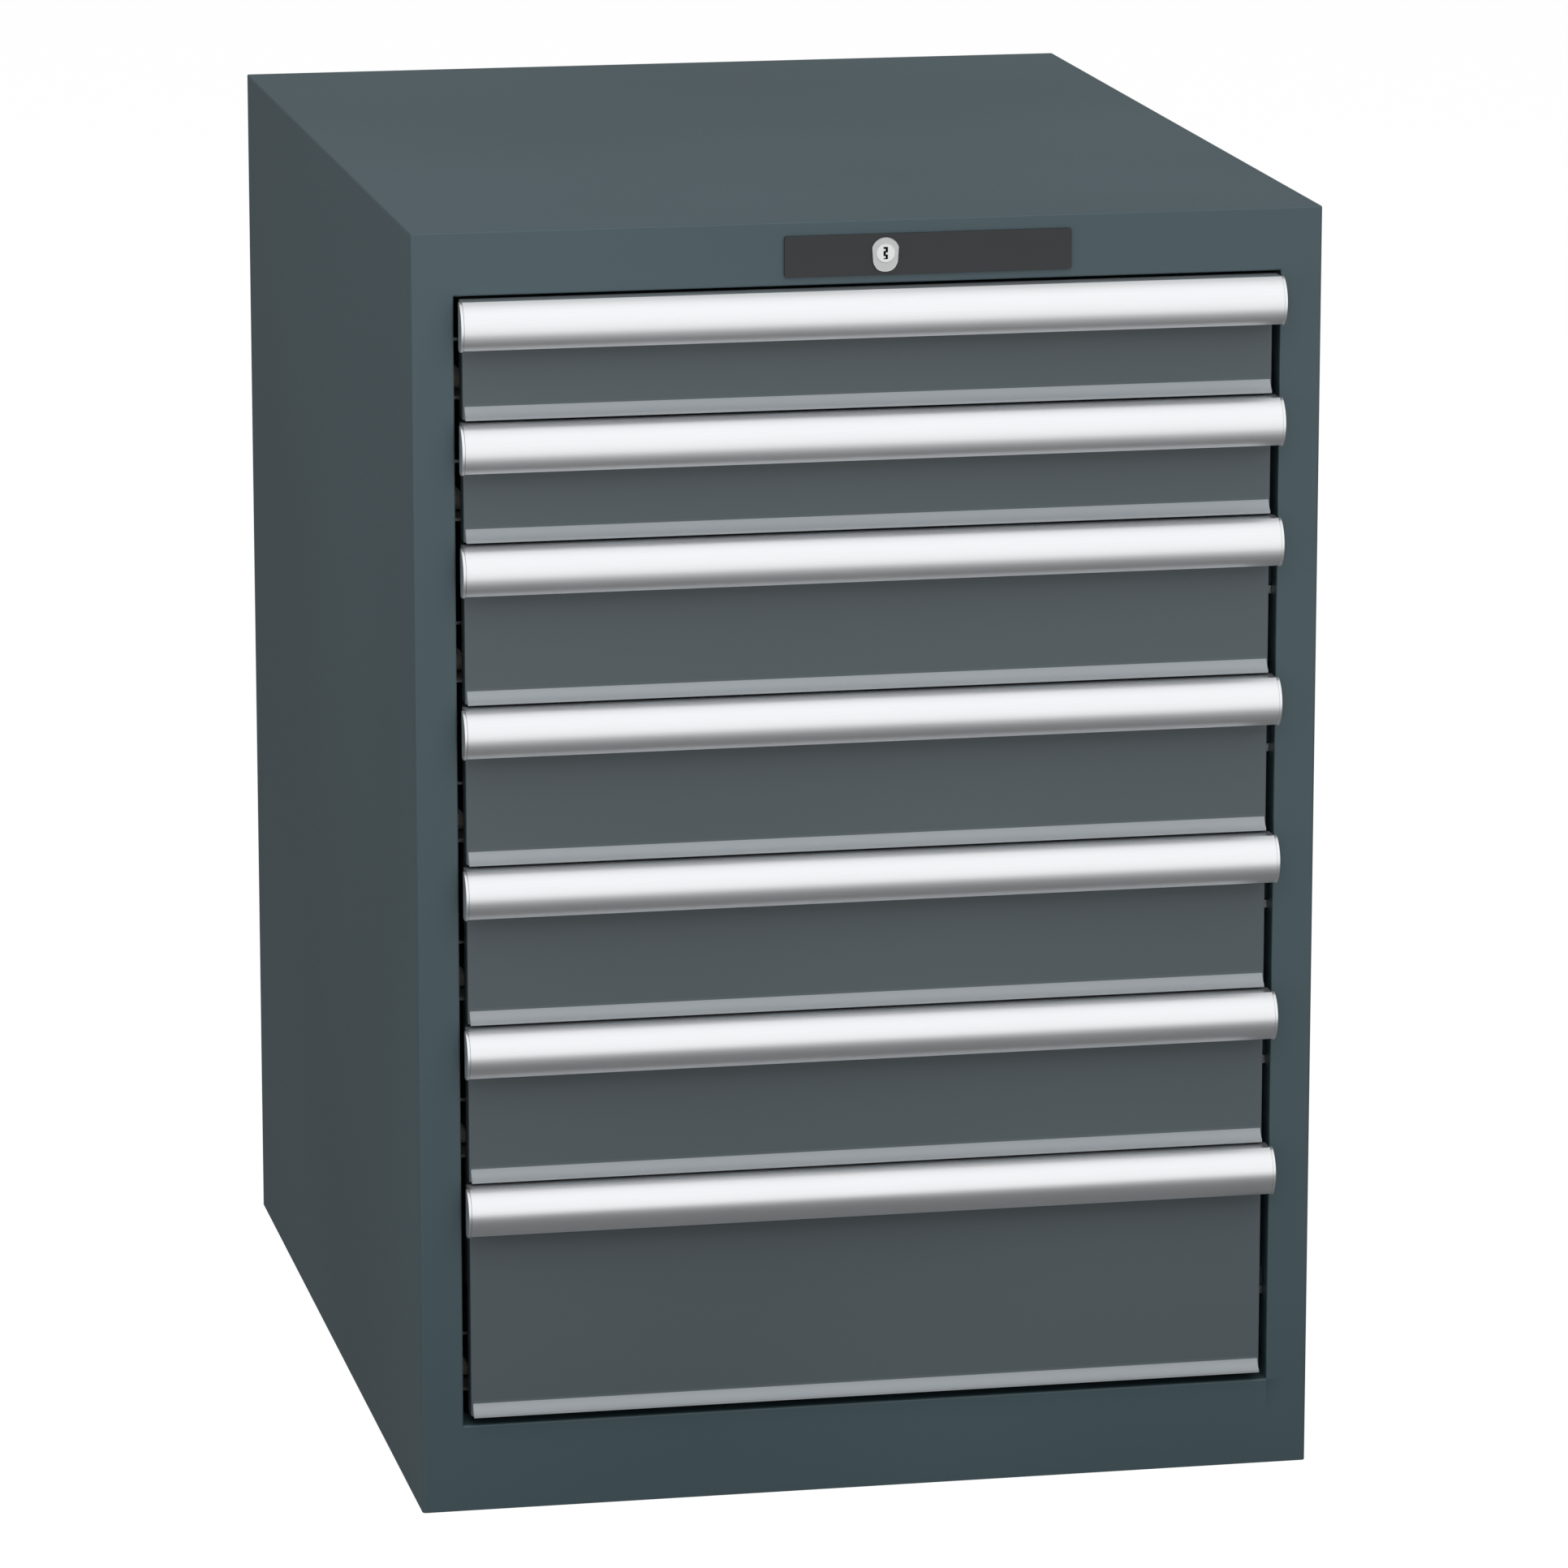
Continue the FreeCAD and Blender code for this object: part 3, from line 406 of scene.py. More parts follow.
@dataclass(frozen=True)
class PlatedSteel(Finish):
    """Plated sheet steel: soft spangles and fine rolling lines.

    Attributes:
        spangle: Size of a spangle.
        spangle_swing: Swing of roughness from one to the next.
        line_size: Distance of the rolling lines.
        line_stretch: Stretch of the noise along them.
        line_relief: Their relief.
        line_swing: Their swing of roughness.
    """

    tints: tuple[float, float] = (0.86, 1.08)
    spangle: float = 5 * MM
    spangle_swing: float = 0.12
    line_size: float = 0.6 * MM
    line_stretch: float = 0.02
    line_relief: float = 0.004 * MM
    line_swing: float = 0.08

    def surface(self, sheet: NodeSheet) -> dict:
        """Fills in the sockets of plated steel."""
        cells = sheet.node("ShaderNodeTexVoronoi", {"feature": "F1"},
                           {"Vector": sheet.place(), "Scale": 1 / self.spangle}, output="Color")
        flecks = sheet.node("ShaderNodeSeparateColor", {}, {"Color": cells}, output="Red")
        lines = sheet.noise(self.line_size, detail=2.0, stretch=(1, self.line_stretch, 1))
        swing = (flecks - 0.5) * self.spangle_swing
        return {
            "Base Color": self.shaded(sheet, flecks),
            "Roughness": self.roughness + swing + (lines - 0.5) * self.line_swing,
            "Metallic": 1.0,
            "Normal": sheet.bump(lines, self.line_relief),
        }


@dataclass(frozen=True)
class MouldedPlastic(Finish):
    """Moulded plastic with a fine spark-eroded grain.

    Attributes:
        grain_size: Size of the grain.
        grain_relief: Its relief.
        grain_swing: Its swing of roughness.
        cloud_size: Size of the clouds in the colour.
    """

    tints: tuple[float, float] = (0.93, 1.07)
    grain_size: float = 0.45 * MM
    grain_relief: float = 0.012 * MM
    grain_swing: float = 0.15
    cloud_size: float = 18 * MM

    def surface(self, sheet: NodeSheet) -> dict:
        """Fills in the sockets of moulded plastic."""
        grain = sheet.noise(self.grain_size, detail=2.0)
        return {
            "Base Color": self.shaded(sheet, sheet.noise(self.cloud_size, detail=1.0)),
            "Roughness": self.roughness + (grain - 0.5) * self.grain_swing,
            "Normal": sheet.bump(grain, self.grain_relief),
        }


@dataclass(frozen=True)
class NickelPlate(Finish):
    """Satin nickel plate over a die casting.

    Attributes:
        cloud_size: Size of the casting's waves.
        cloud_relief: Their relief.
        cloud_swing: Their swing of roughness.
    """

    tints: tuple[float, float] = (0.95, 1.03)
    cloud_size: float = 3 * MM
    cloud_relief: float = 0.006 * MM
    cloud_swing: float = 0.08

    def surface(self, sheet: NodeSheet) -> dict:
        """Fills in the sockets of nickel plate."""
        cloud = sheet.noise(self.cloud_size, detail=3.0)
        return {
            "Base Color": self.shaded(sheet, cloud),
            "Roughness": self.roughness + (cloud - 0.5) * self.cloud_swing,
            "Metallic": 1.0,
            "Normal": sheet.bump(cloud, self.cloud_relief),
        }


@dataclass(frozen=True)
class ShieldNickel(NickelPlate):
    """The shield's nickel: a rim round a rougher face, which is darkened with painted shade.

    Attributes:
        rim_plane: Plane behind which the shield's face is rougher and painted darker.
        dish_shade: Share of the colour that is left there, as painted shade.
        dish_roughness_rise: Rise of the roughness there.
    """

    rim_plane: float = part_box("lock_body")[0].y + 0.1 * MM
    dish_shade: float = 0.78
    dish_roughness_rise: float = 0.12

    def surface(self, sheet: NodeSheet) -> dict:
        """Fills in the sockets of the shield, with the painted shade and the roughness of its face.
        """
        sockets = super().surface(sheet)
        inside = sheet.depth().above(self.rim_plane)
        # The face sunk behind the rim is darkened: painted shade.
        sockets["Base Color"] = sheet.mix(inside, sockets["Base Color"], self.tinted(self.dish_shade))
        sockets["Roughness"] = sockets["Roughness"] + inside * self.dish_roughness_rise
        return sockets


@dataclass(frozen=True)
class PlugNickel(NickelPlate):
    """The key plug's nickel. A little way into the key's slot it gives way to a dark, matt colour:
    grease, and painted shade.

    Attributes:
        mouth: Plane behind which the slot is dark with grease and painted shade.
        slot_grease_and_shade: Its colour there, grease and painted shade, as a screen shows it.
    """

    mouth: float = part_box("lock_plug")[0].y + 0.5 * MM
    slot_grease_and_shade: tuple[int, int, int] = (26, 26, 27)

    def surface(self, sheet: NodeSheet) -> dict:
        """Fills in the sockets of the plug, with the grease and painted shade of its slot."""
        sockets = super().surface(sheet)
        # Deeper in, the slot is dark and matt: grease, and painted shade.
        inside = sheet.depth().above(self.mouth)
        dark = linear(*self.slot_grease_and_shade)
        sockets["Base Color"] = sheet.mix(inside, sockets["Base Color"], dark)
        sockets["Metallic"] = 1 - inside
        return sockets


HOUSING_COAT = PowderCoat("housing_coat", Slot.HOUSING, (66, 84, 90), 0.42)
FRONT_COAT = FrontCoat("front_coat", Slot.FRONT, (83, 92, 97), 0.42)
TRAY_COAT = PowderCoat("tray_coat", Slot.TRAY, (176, 179, 178), 0.42, tints=(0.97, 1.03))
HANDLE_METAL = ExtrudedMetal("handle_metal", Slot.HANDLE, (239, 241, 243), 0.32)
ZINC_STEEL = PlatedSteel("zinc_steel_plate", Slot.ZINC, (182, 185, 188), 0.34)
ROLLER_PLASTIC = MouldedPlastic("roller_plastic_moulding", Slot.ROLLER, (216, 212, 200), 0.38)
BLACK_PLASTIC = MouldedPlastic("black_plastic_moulding", Slot.PLASTIC, (36, 37, 39), 0.5)
NICKEL = NickelPlate("nickel_plate", Slot.NICKEL, (206, 208, 208), 0.34)
SHIELD_NICKEL = ShieldNickel("shield_nickel", Slot.NICKEL, (218, 220, 220), 0.27)
PLUG_NICKEL = PlugNickel("plug_nickel", Slot.NICKEL, (224, 226, 225), 0.27)


@contextmanager
def editing(piece: bpy.types.Object) -> Iterator[None]:
    """Holds one piece in edit mode, with nothing else selected and nothing picked in it.

    Args:
        piece: The piece to edit.
    """
    select_only(piece)
    bpy.ops.object.mode_set(mode="EDIT")
    bpy.ops.mesh.select_all(action="DESELECT")
    try:
        yield
    finally:
        bpy.ops.object.mode_set(mode="OBJECT")


def select_only(*pieces: bpy.types.Object) -> None:
    """Selects the given pieces alone, and makes the first the active one."""
    for other in bpy.context.selected_objects:
        other.select_set(False)
    for piece in pieces:
        piece.select_set(True)
    bpy.context.view_layer.objects.active = pieces[0]


def pick(piece: bpy.types.Object, kind: Element,
         test: Callable[[Vector, Vector], bool]) -> list[Vector]:
    """Picks the edges or faces of the piece in edit mode that pass a test.

    Args:
        piece: The piece, which is in edit mode.
        kind: Edges or faces.
        test: Takes an element's middle, and an edge's direction or a face's normal.

    Returns:
        The middles of what is picked.
    """
    bpy.ops.mesh.select_all(action="DESELECT")
    bpy.ops.mesh.select_mode(type=kind.value)
    mesh = bmesh.from_edit_mesh(piece.data)
    middles = []
    for element in list(mesh.edges if kind is Element.EDGE else mesh.faces):
        if kind is Element.EDGE:
            first, last = (corner.co for corner in element.verts)
            middle, heading = (first + last) / 2, (last - first).normalized()
        else:
            middle, heading = element.calc_center_median(), element.normal
        if test(middle, heading):
            element.select_set(True)
            middles.append(middle.copy())
    mesh.select_flush_mode()
    bmesh.update_edit_mesh(piece.data)
    return middles


def copy_of(node: str, name: str,
            keep: Callable[[Vector, Vector], bool] | None = None) -> bpy.types.Object:
    """Gives a clean copy of a node's solids: corners merged, flat faces whole.

    Args:
        node: The node to copy.
        name: The name of the new piece.
        keep: Takes a face's middle and normal, and tells whether the face is wanted.

    Returns:
        The new piece, at the origin.
    """
    piece = bpy.data.objects.new(name, frame["nodes"][node].data.copy())
    bpy.context.scene.collection.objects.link(piece)
    piece.data.name = name
    piece.data.materials.clear()
    with editing(piece):
        if keep is not None:
            pick(piece, Element.FACE, lambda m, n: not keep(m, n))
            bpy.ops.mesh.delete(type="FACE")
        bpy.ops.mesh.select_all(action="SELECT")
        bpy.ops.mesh.remove_doubles(threshold=WELD)
        bpy.ops.mesh.dissolve_limited(angle_limit=math.radians(FLAT_ANGLE))
    return piece


def round_picked(radius: float, steps: Steps) -> None:
    """Rounds the picked edges of the piece in edit mode."""
    bpy.ops.mesh.bevel(offset=radius, offset_type="OFFSET", segments=steps.value, affect="EDGES",
                       clamp_overlap=True)


def apply_modifier(piece: bpy.types.Object, kind: str, settings: dict) -> None:
    """Adds a modifier to a piece and applies it.

    Args:
        piece: The piece.
        kind: The modifier's type.
        settings: Its properties.
    """
    modifier = piece.modifiers.new(kind.lower(), kind)
    for name, setting in settings.items():
        setattr(modifier, name, setting)
    select_only(piece)
    bpy.ops.object.modifier_apply(modifier=modifier.name)


def ease_edges(piece: bpy.types.Object, radius: float) -> None:
    """Rounds every sharp edge of a piece."""
    apply_modifier(piece, "BEVEL", {
        "width": radius, "segments": Steps.CUT.value, "limit_method": "ANGLE",
        "angle_limit": math.radians(EASE_ANGLE), "use_clamp_overlap": True,
        "miter_outer": "MITER_ARC",
    })


def smooth(piece: bpy.types.Object) -> None:
    """Shades a piece smooth across its roundings and keeps its flat faces flat."""
    select_only(piece)
    bpy.ops.object.shade_smooth_by_angle(angle=math.radians(SMOOTH_ANGLE))
    apply_modifier(piece, "WEIGHTED_NORMAL", {"keep_sharp": True, "weight": NORMAL_WEIGHT})


def join(pieces: list[bpy.types.Object], name: str) -> bpy.types.Object:
    """Joins pieces into one with a name."""
    if len(pieces) > 1:
        select_only(*pieces)
        bpy.ops.object.join()
    pieces[0].name = name
    pieces[0].data.name = name
    return pieces[0]


def settle(piece: bpy.types.Object) -> None:
    """Moves a primitive's place, turn and scale into its mesh."""
    select_only(piece)
    bpy.ops.object.transform_apply(location=True, rotation=True, scale=True)


def twin(piece: bpy.types.Object, name: str, shift: Vector) -> bpy.types.Object:
    """Gives a copy of a piece with its own mesh, moved by a shift."""
    select_only(piece)
    bpy.ops.object.duplicate()
    other = bpy.context.active_object
    bpy.ops.transform.translate(value=shift)
    settle(other)
    other.name = name
    other.data.name = name
    return other


def dress(piece: bpy.types.Object, body: str, finish: Finish, node: str) -> None:
    """Gives a piece its finish and its body, and lets it stand for a node.

    Args:
        piece: The piece.
        body: The body that it rides on.
        finish: Its finish.
        node: The node that it stands for.
    """
    piece.data.materials.clear()
    piece.data.materials.append(finish.material())
    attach(piece, body)
    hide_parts(node)
    log.info("%s rides on %s: %d faces", piece.name, body, len(piece.data.polygons))


def dress_eased(node: str, name: str, body: str, finish: Finish, radius: float) -> None:
    """Makes a piece that is its node with eased edges.

    Args:
        node: The node.
        name: The name of the piece.
        body: The body that it rides on.
        finish: Its finish.
        radius: Rounding of its edges.
    """
    piece = copy_of(node, name)
    ease_edges(piece, radius)
    smooth(piece)
    dress(piece, body, finish, node)


@dataclass
class Housing:
    """The folded sheets round the drawers, with the posts and rails that carry them.

    Attributes:
        body: The body of all its pieces.
        fold: Radius of the outer folds.
        hem: Radius of the folds round the opening.
        rim: Radius of the cover's edge.
        ease: Rounding of cut edges.
        front: Plane of the posts' faces.
        back: Plane of the side walls' rear edges.
        side: Half the width.
        opening: Half the opening's width, and the levels of its foot and head.
    """

    body: str = "housing"
    fold: float = 2.2 * MM
    hem: float = 1.2 * MM
    rim: float = 1.0 * MM
    ease: float = 0.35 * MM
    front: float = field(init=False)
    back: float = field(init=False)
    side: float = field(init=False)
    opening: tuple[float, float, float] = field(init=False)

    def __post_init__(self) -> None:
        """Reads the sizes of the housing off the frame."""
        low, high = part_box("side_wall_right")
        self.front, self.back, self.side = low.y, high.y, high.x
        self.opening = (low.x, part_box("base_pan")[1].z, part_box("top_cover")[0].z)

    def build(self) -> None:
        """Builds every piece of the housing."""
        for hand in ("left", "right"):
            self.side_wall(hand)
            self.eased("uprights_" + hand, "slotted_posts_" + hand, ZINC_STEEL)
            self.eased("cabinet_rails_" + hand, "drawer_rails_" + hand, ZINC_STEEL)
        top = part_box("top_cover")[1].z
        self.cap("top_cover", "cover_panel", (top, self.rim, Steps.HEM), self.opening[2])
        self.cap("base_pan", "base_panel", (0, self.ease, Steps.CUT), self.opening[1])
        self.eased("back_wall", "back_panel", HOUSING_COAT)

    def eased(self, node: str, name: str, finish: Finish) -> None:
        """A piece of the housing with eased edges, which show as fine seams."""
        dress_eased(node, name, self.body, finish, self.ease)

    def on_corner(self, middle: Vector, direction: Vector) -> bool:
        """Tells whether an edge is one of the two upright front corners."""
        return (abs(direction.z) > STRAIGHT and at(middle.y, self.front)
                and at(abs(middle.x), self.side))

    def side_wall(self, hand: str) -> None:
        """A side wall: its outer folds are round, and its post has a fold along the opening."""
        piece = copy_of("side_wall_" + hand, "side_panel_" + hand)
        inner, foot, head = self.opening
        with editing(piece):
            for level in (foot, head):
                bpy.ops.mesh.select_all(action="SELECT")
                bpy.ops.mesh.bisect(plane_co=(0, 0, level), plane_no=(0, 0, 1))
            pick(piece, Element.EDGE, self.on_corner)
            round_picked(self.fold, Steps.FOLD)
            pick(piece, Element.EDGE, lambda m, d: abs(d.z) > STRAIGHT and at(m.y, self.front)
                 and at(abs(m.x), inner) and foot < m.z < head)
            round_picked(self.hem, Steps.HEM)
            pick(piece, Element.EDGE, lambda m, d: abs(d.z) > STRAIGHT and at(m.y, self.back))
            round_picked(self.ease, Steps.CUT)
        smooth(piece)
        dress(piece, self.body, HOUSING_COAT, "side_wall_" + hand)

    def cap(self, node: str, name: str, rim: tuple[float, float, Steps], hem: float) -> None:
        """The cover or the base, with round corners over the side walls' folds.

        Args:
            node: Its node.
            name: The name of the piece.
            rim: Level, radius and fineness of the rounding along its outline.
            hem: Level of the fold along the opening.
        """
        piece = copy_of(node, name)
        level, radius, steps = rim
        with editing(piece):
            pick(piece, Element.EDGE, self.on_corner)
            round_picked(self.fold, Steps.FOLD)
            pick(piece, Element.EDGE, lambda m, d: at(m.z, level) and self.on_outline(m))
            round_picked(radius, steps)
            pick(piece, Element.EDGE, lambda m, d: abs(d.x) > STRAIGHT and at(m.y, self.front)
                 and at(m.z, hem))
            round_picked(self.hem, Steps.HEM)
        smooth(piece)
        dress(piece, self.body, HOUSING_COAT, node)

    def on_outline(self, middle: Vector) -> bool:
        """Tells whether a point lies on the outline of the housing's plan or its round corners."""
        reach = self.fold + NEAR
        within = self.front + reach < middle.y < self.back - reach
        return abs(middle.x) > self.side - reach or not within


@dataclass
class Tray:
    """The sheet tray of a drawer, slotted on the grid that its dividers clip into.

    Attributes:
        pitch: Step of the grid.
        slot: Width of a slot.
        land: Plain sheet above and below the slots.
        gauge: Thickness of the sheet.
        hem: Reach of the hem along the side walls.
        fold: Radius of the folds at the floor.
    """

    pitch: float = 17 * MM
    slot: float = 2.2 * MM
    land: float = 11 * MM
    gauge: float = 1.5 * MM
    hem: float = 7 * MM
    fold: float = 2.5 * MM

    def build(self, node: str, name: str) -> bpy.types.Object:
        """Builds a tray in the place of a node.

        Args:
            node: The node that gives its size and place.
            name: The name of the piece.

        Returns:
            The tray.
        """
        low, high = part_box(node)
        low, high = low + Vector((self.hem, 0, 0)), high - Vector((self.hem, 0, 0))
        bpy.ops.mesh.primitive_cube_add(size=1, location=(low + high) / 2)
        piece = bpy.context.active_object
        piece.name = name
        piece.scale = high - low
        settle(piece)
        with editing(piece):
            pick(piece, Element.FACE, lambda m, n: n.z > STEEP)
            bpy.ops.mesh.delete(type="ONLY_FACE")
            pick(piece, Element.EDGE, lambda m, d: at(m.z, low.z))
            round_picked(self.fold, Steps.CUT)
            for hand in (-1, 1):
                pick(piece, Element.EDGE, lambda m, d: abs(d.y) > STRAIGHT and at(m.z, high.z)
                     and m.x * hand > 0)
                bpy.ops.mesh.extrude_edges_move(
                    TRANSFORM_OT_translate={"value": (hand * self.hem, 0, 0)})
            columns = self.places(low.x, high.x)
            rows = self.places(low.y, high.y)
            self.cut(columns, (1, 0, 0))
            self.cut(rows, (0, 1, 0))
            for level in (low.z + self.land, high.z - self.land):
                self.slice((0, 0, level), (0, 0, 1))
            self.punch(piece, columns, rows, low, high)
        apply_modifier(piece, "SOLIDIFY", {
            "thickness": self.gauge, "offset": -1, "use_even_offset": True})
        smooth(piece)
        return piece

    def places(self, low: float, high: float) -> list[float]:
        """Gives the middles of the slots between two walls, with equal margins."""
        count = int((high - low - self.pitch) // self.pitch) + 1
        start = (low + high - (count - 1) * self.pitch) / 2
        return [start + index * self.pitch for index in range(count)]

    @staticmethod
    def slice(point: tuple[float, float, float], across: tuple[float, float, float]) -> None:
        """Cuts the piece in edit mode along a plane, with nothing removed."""
        bpy.ops.mesh.select_all(action="SELECT")
        bpy.ops.mesh.bisect(plane_co=point, plane_no=across)

    def cut(self, places: list[float], across: tuple[float, float, float]) -> None:
        """Cuts the edges of every slot along one axis."""
        for middle in places:
            for edge in (middle - self.slot / 2, middle + self.slot / 2):
                self.slice(tuple(edge * share for share in across), across)

    def punch(self, piece: bpy.types.Object, columns: list[float], rows: list[float],
              low: Vector, high: Vector) -> None:
        """Punches the slots out of the walls and the holes out of the floor."""
        def on(value: float, places: list[float]) -> bool:
            """Tells whether a coordinate lies within a slot."""
            return any(abs(value - middle) < self.slot / 2 for middle in places)

        def gone(middle: Vector, normal: Vector) -> bool:
            """Tells whether a face is punched out."""
            upright = low.z + self.land < middle.z < high.z - self.land
            if abs(normal.x) > STEEP:
                return upright and on(middle.y, rows)
            if abs(normal.y) > STEEP:
                return upright and on(middle.x, columns)
            return (middle.z < low.z + self.gauge and on(middle.x, columns)
                    and on(middle.y, rows))

        pick(piece, Element.FACE, gone)
        bpy.ops.mesh.delete(type="FACE")


@dataclass
class Drawer:
    """One drawer: tray, front with its lip, handle, runners, and its roller carriage.

    Attributes:
        number: Its number from the top.
        fold: Radius of the front's upright folds.
        ease: Rounding of cut edges.
        cap_gauge: Thickness of the caps on the ends of the handle.
        cap_ease: Rounding of the caps' edges.
        hub_inset: Face of a roller round its recess.
        hub_depth: Depth of the recess.
        pin_inset: Floor of the recess round the pin's head.
        pin_rise: Height of the pin's head.
        rivet_radius: Radius of a pin's riveted end.
        rivet_rise: Height of that end.
        rivet_ring: Ring round its flat top, as a share of the radius.
        rivet_round: Rounding of its edge, as a share of the height.
        rivet_sides: Facets round it.
    """

    number: int
    fold: float = 0.8 * MM
    ease: float = 0.35 * MM
    cap_gauge: float = 2.0 * MM
    cap_ease: float = 0.6 * MM
    hub_inset: float = 1.9 * MM
    hub_depth: float = 0.8 * MM
    pin_inset: float = 2.2 * MM
    pin_rise: float = 0.6 * MM
    rivet_radius: float = 3.2 * MM
    rivet_rise: float = 1.1 * MM
    rivet_ring: float = 1 / 3
    rivet_round: float = 0.6
    rivet_sides: int = 16

    @property
    def body(self) -> str:
        """Names the drawer's body."""
        return "drawer_%d" % self.number

    @property
    def carriage(self) -> str:
        """Names the body of the drawer's carriage."""
        return "carriage_%d" % self.number

    def build(self, tray: bpy.types.Object) -> None:
        """Builds every piece of the drawer but its tray, and dresses that.

        Args:
            tray: The tray.
        """
        dress(tray, self.body, TRAY_COAT, self.body + "_tray")
        self.front()
        self.handle()
        dress_eased(self.body + "_runners", self.body + "_slide_runners", self.body, ZINC_STEEL,
                    self.ease)
        self.bars(self.rollers())

    def front(self) -> None:
        """The front: round upright folds, and eased edges elsewhere."""
        node = self.body + "_front"
        piece = copy_of(node, self.body + "_front_panel")
        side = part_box(node)[1].x
        with editing(piece):
            pick(piece, Element.EDGE, lambda m, d: abs(d.z) > STRAIGHT
                 and at(m.y, FRONT_COAT.face) and at(abs(m.x), side))
            round_picked(self.fold, Steps.HEM)
        ease_edges(piece, self.ease)
        smooth(piece)
        dress(piece, self.body, FRONT_COAT, node)

    def handle(self) -> None:
        """The handle: the extruded strip, with sharp cut ends between two round-edged caps."""
        node = self.body + "_handle"
        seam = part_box(node)[1].x - self.cap_gauge

        def of_cap(middle: Vector, normal: Vector) -> bool:
            """Tells whether a face is a cap's, and not the strip's that meets it at the seam."""
            past = abs(middle.x) - seam
            inwards = math.copysign(1, middle.x) * normal.x < -STRAIGHT
            return past > NEAR or (past > -NEAR and inwards)

        strip = copy_of(node, self.body + "_handle_strip", lambda m, n: not of_cap(m, n))
        smooth(strip)
        dress(strip, self.body, HANDLE_METAL, node)
        caps = copy_of(node, self.body + "_handle_caps", of_cap)
        ease_edges(caps, self.cap_ease)
        smooth(caps)
        dress(caps, self.body, HANDLE_METAL, node)

    def rollers(self) -> list[Vector]:
        """The rollers, with a recess round each pin's head.

        Returns:
            The middles of the rollers' inner faces.
        """
        node = self.carriage + "_rollers"
        piece = copy_of(node, self.carriage + "_roller_set")
        with editing(piece):
            middles = pick(piece, Element.FACE, lambda m, n: abs(n.x) > STRAIGHT and m.x * n.x < 0)
            bpy.ops.mesh.inset(thickness=self.hub_inset, depth=-self.hub_depth)
            bpy.ops.mesh.inset(thickness=self.pin_inset, depth=self.pin_rise)
        ease_edges(piece, self.ease)
        smooth(piece)
        dress(piece, self.carriage, ROLLER_PLASTIC, node)
        return middles

    def bars(self, middles: list[Vector]) -> None:
        """The bars, with the riveted ends of the rollers' pins.

        Args:
            middles: A point on each pin's axis.
        """
        node = self.carriage + "_bars"
        bars = copy_of(node, self.carriage + "_bar_pair")
        ease_edges(bars, self.ease)
        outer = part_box(node)[1].x
        heads = [self.rivet(math.copysign(outer, middle.x), middle) for middle in middles]
        bars = join([bars, *heads], self.carriage + "_bar_pair")
        smooth(bars)
        dress(bars, self.carriage, ZINC_STEEL, node)

    def rivet(self, across: float, middle: Vector) -> bpy.types.Object:
        """Gives the riveted end of a pin on the outside of a bar."""
        bpy.ops.mesh.primitive_cylinder_add(
            vertices=self.rivet_sides, radius=self.rivet_radius, depth=2 * self.rivet_rise,
            location=(across, middle.y, middle.z), rotation=(0, math.radians(90), 0),
        )
        piece = bpy.context.active_object
        settle(piece)
        with editing(piece):
            pick(piece, Element.FACE, lambda m, n: abs(n.x) > STEEP and abs(m.x) > abs(across))
            bpy.ops.mesh.inset(thickness=self.rivet_radius * self.rivet_ring)
            # The middles of the rim's edges lie beyond this, those of the ring's spokes within.
            inner = self.rivet_radius * (1 - self.rivet_ring / 3)
            pick(piece, Element.EDGE, lambda m, d: abs(m.x) > abs(across) + self.rivet_rise / 2
                 and math.hypot(m.y - middle.y, m.z - middle.z) > inner)
            round_picked(self.rivet_rise * self.rivet_round, Steps.CUT)
        return piece


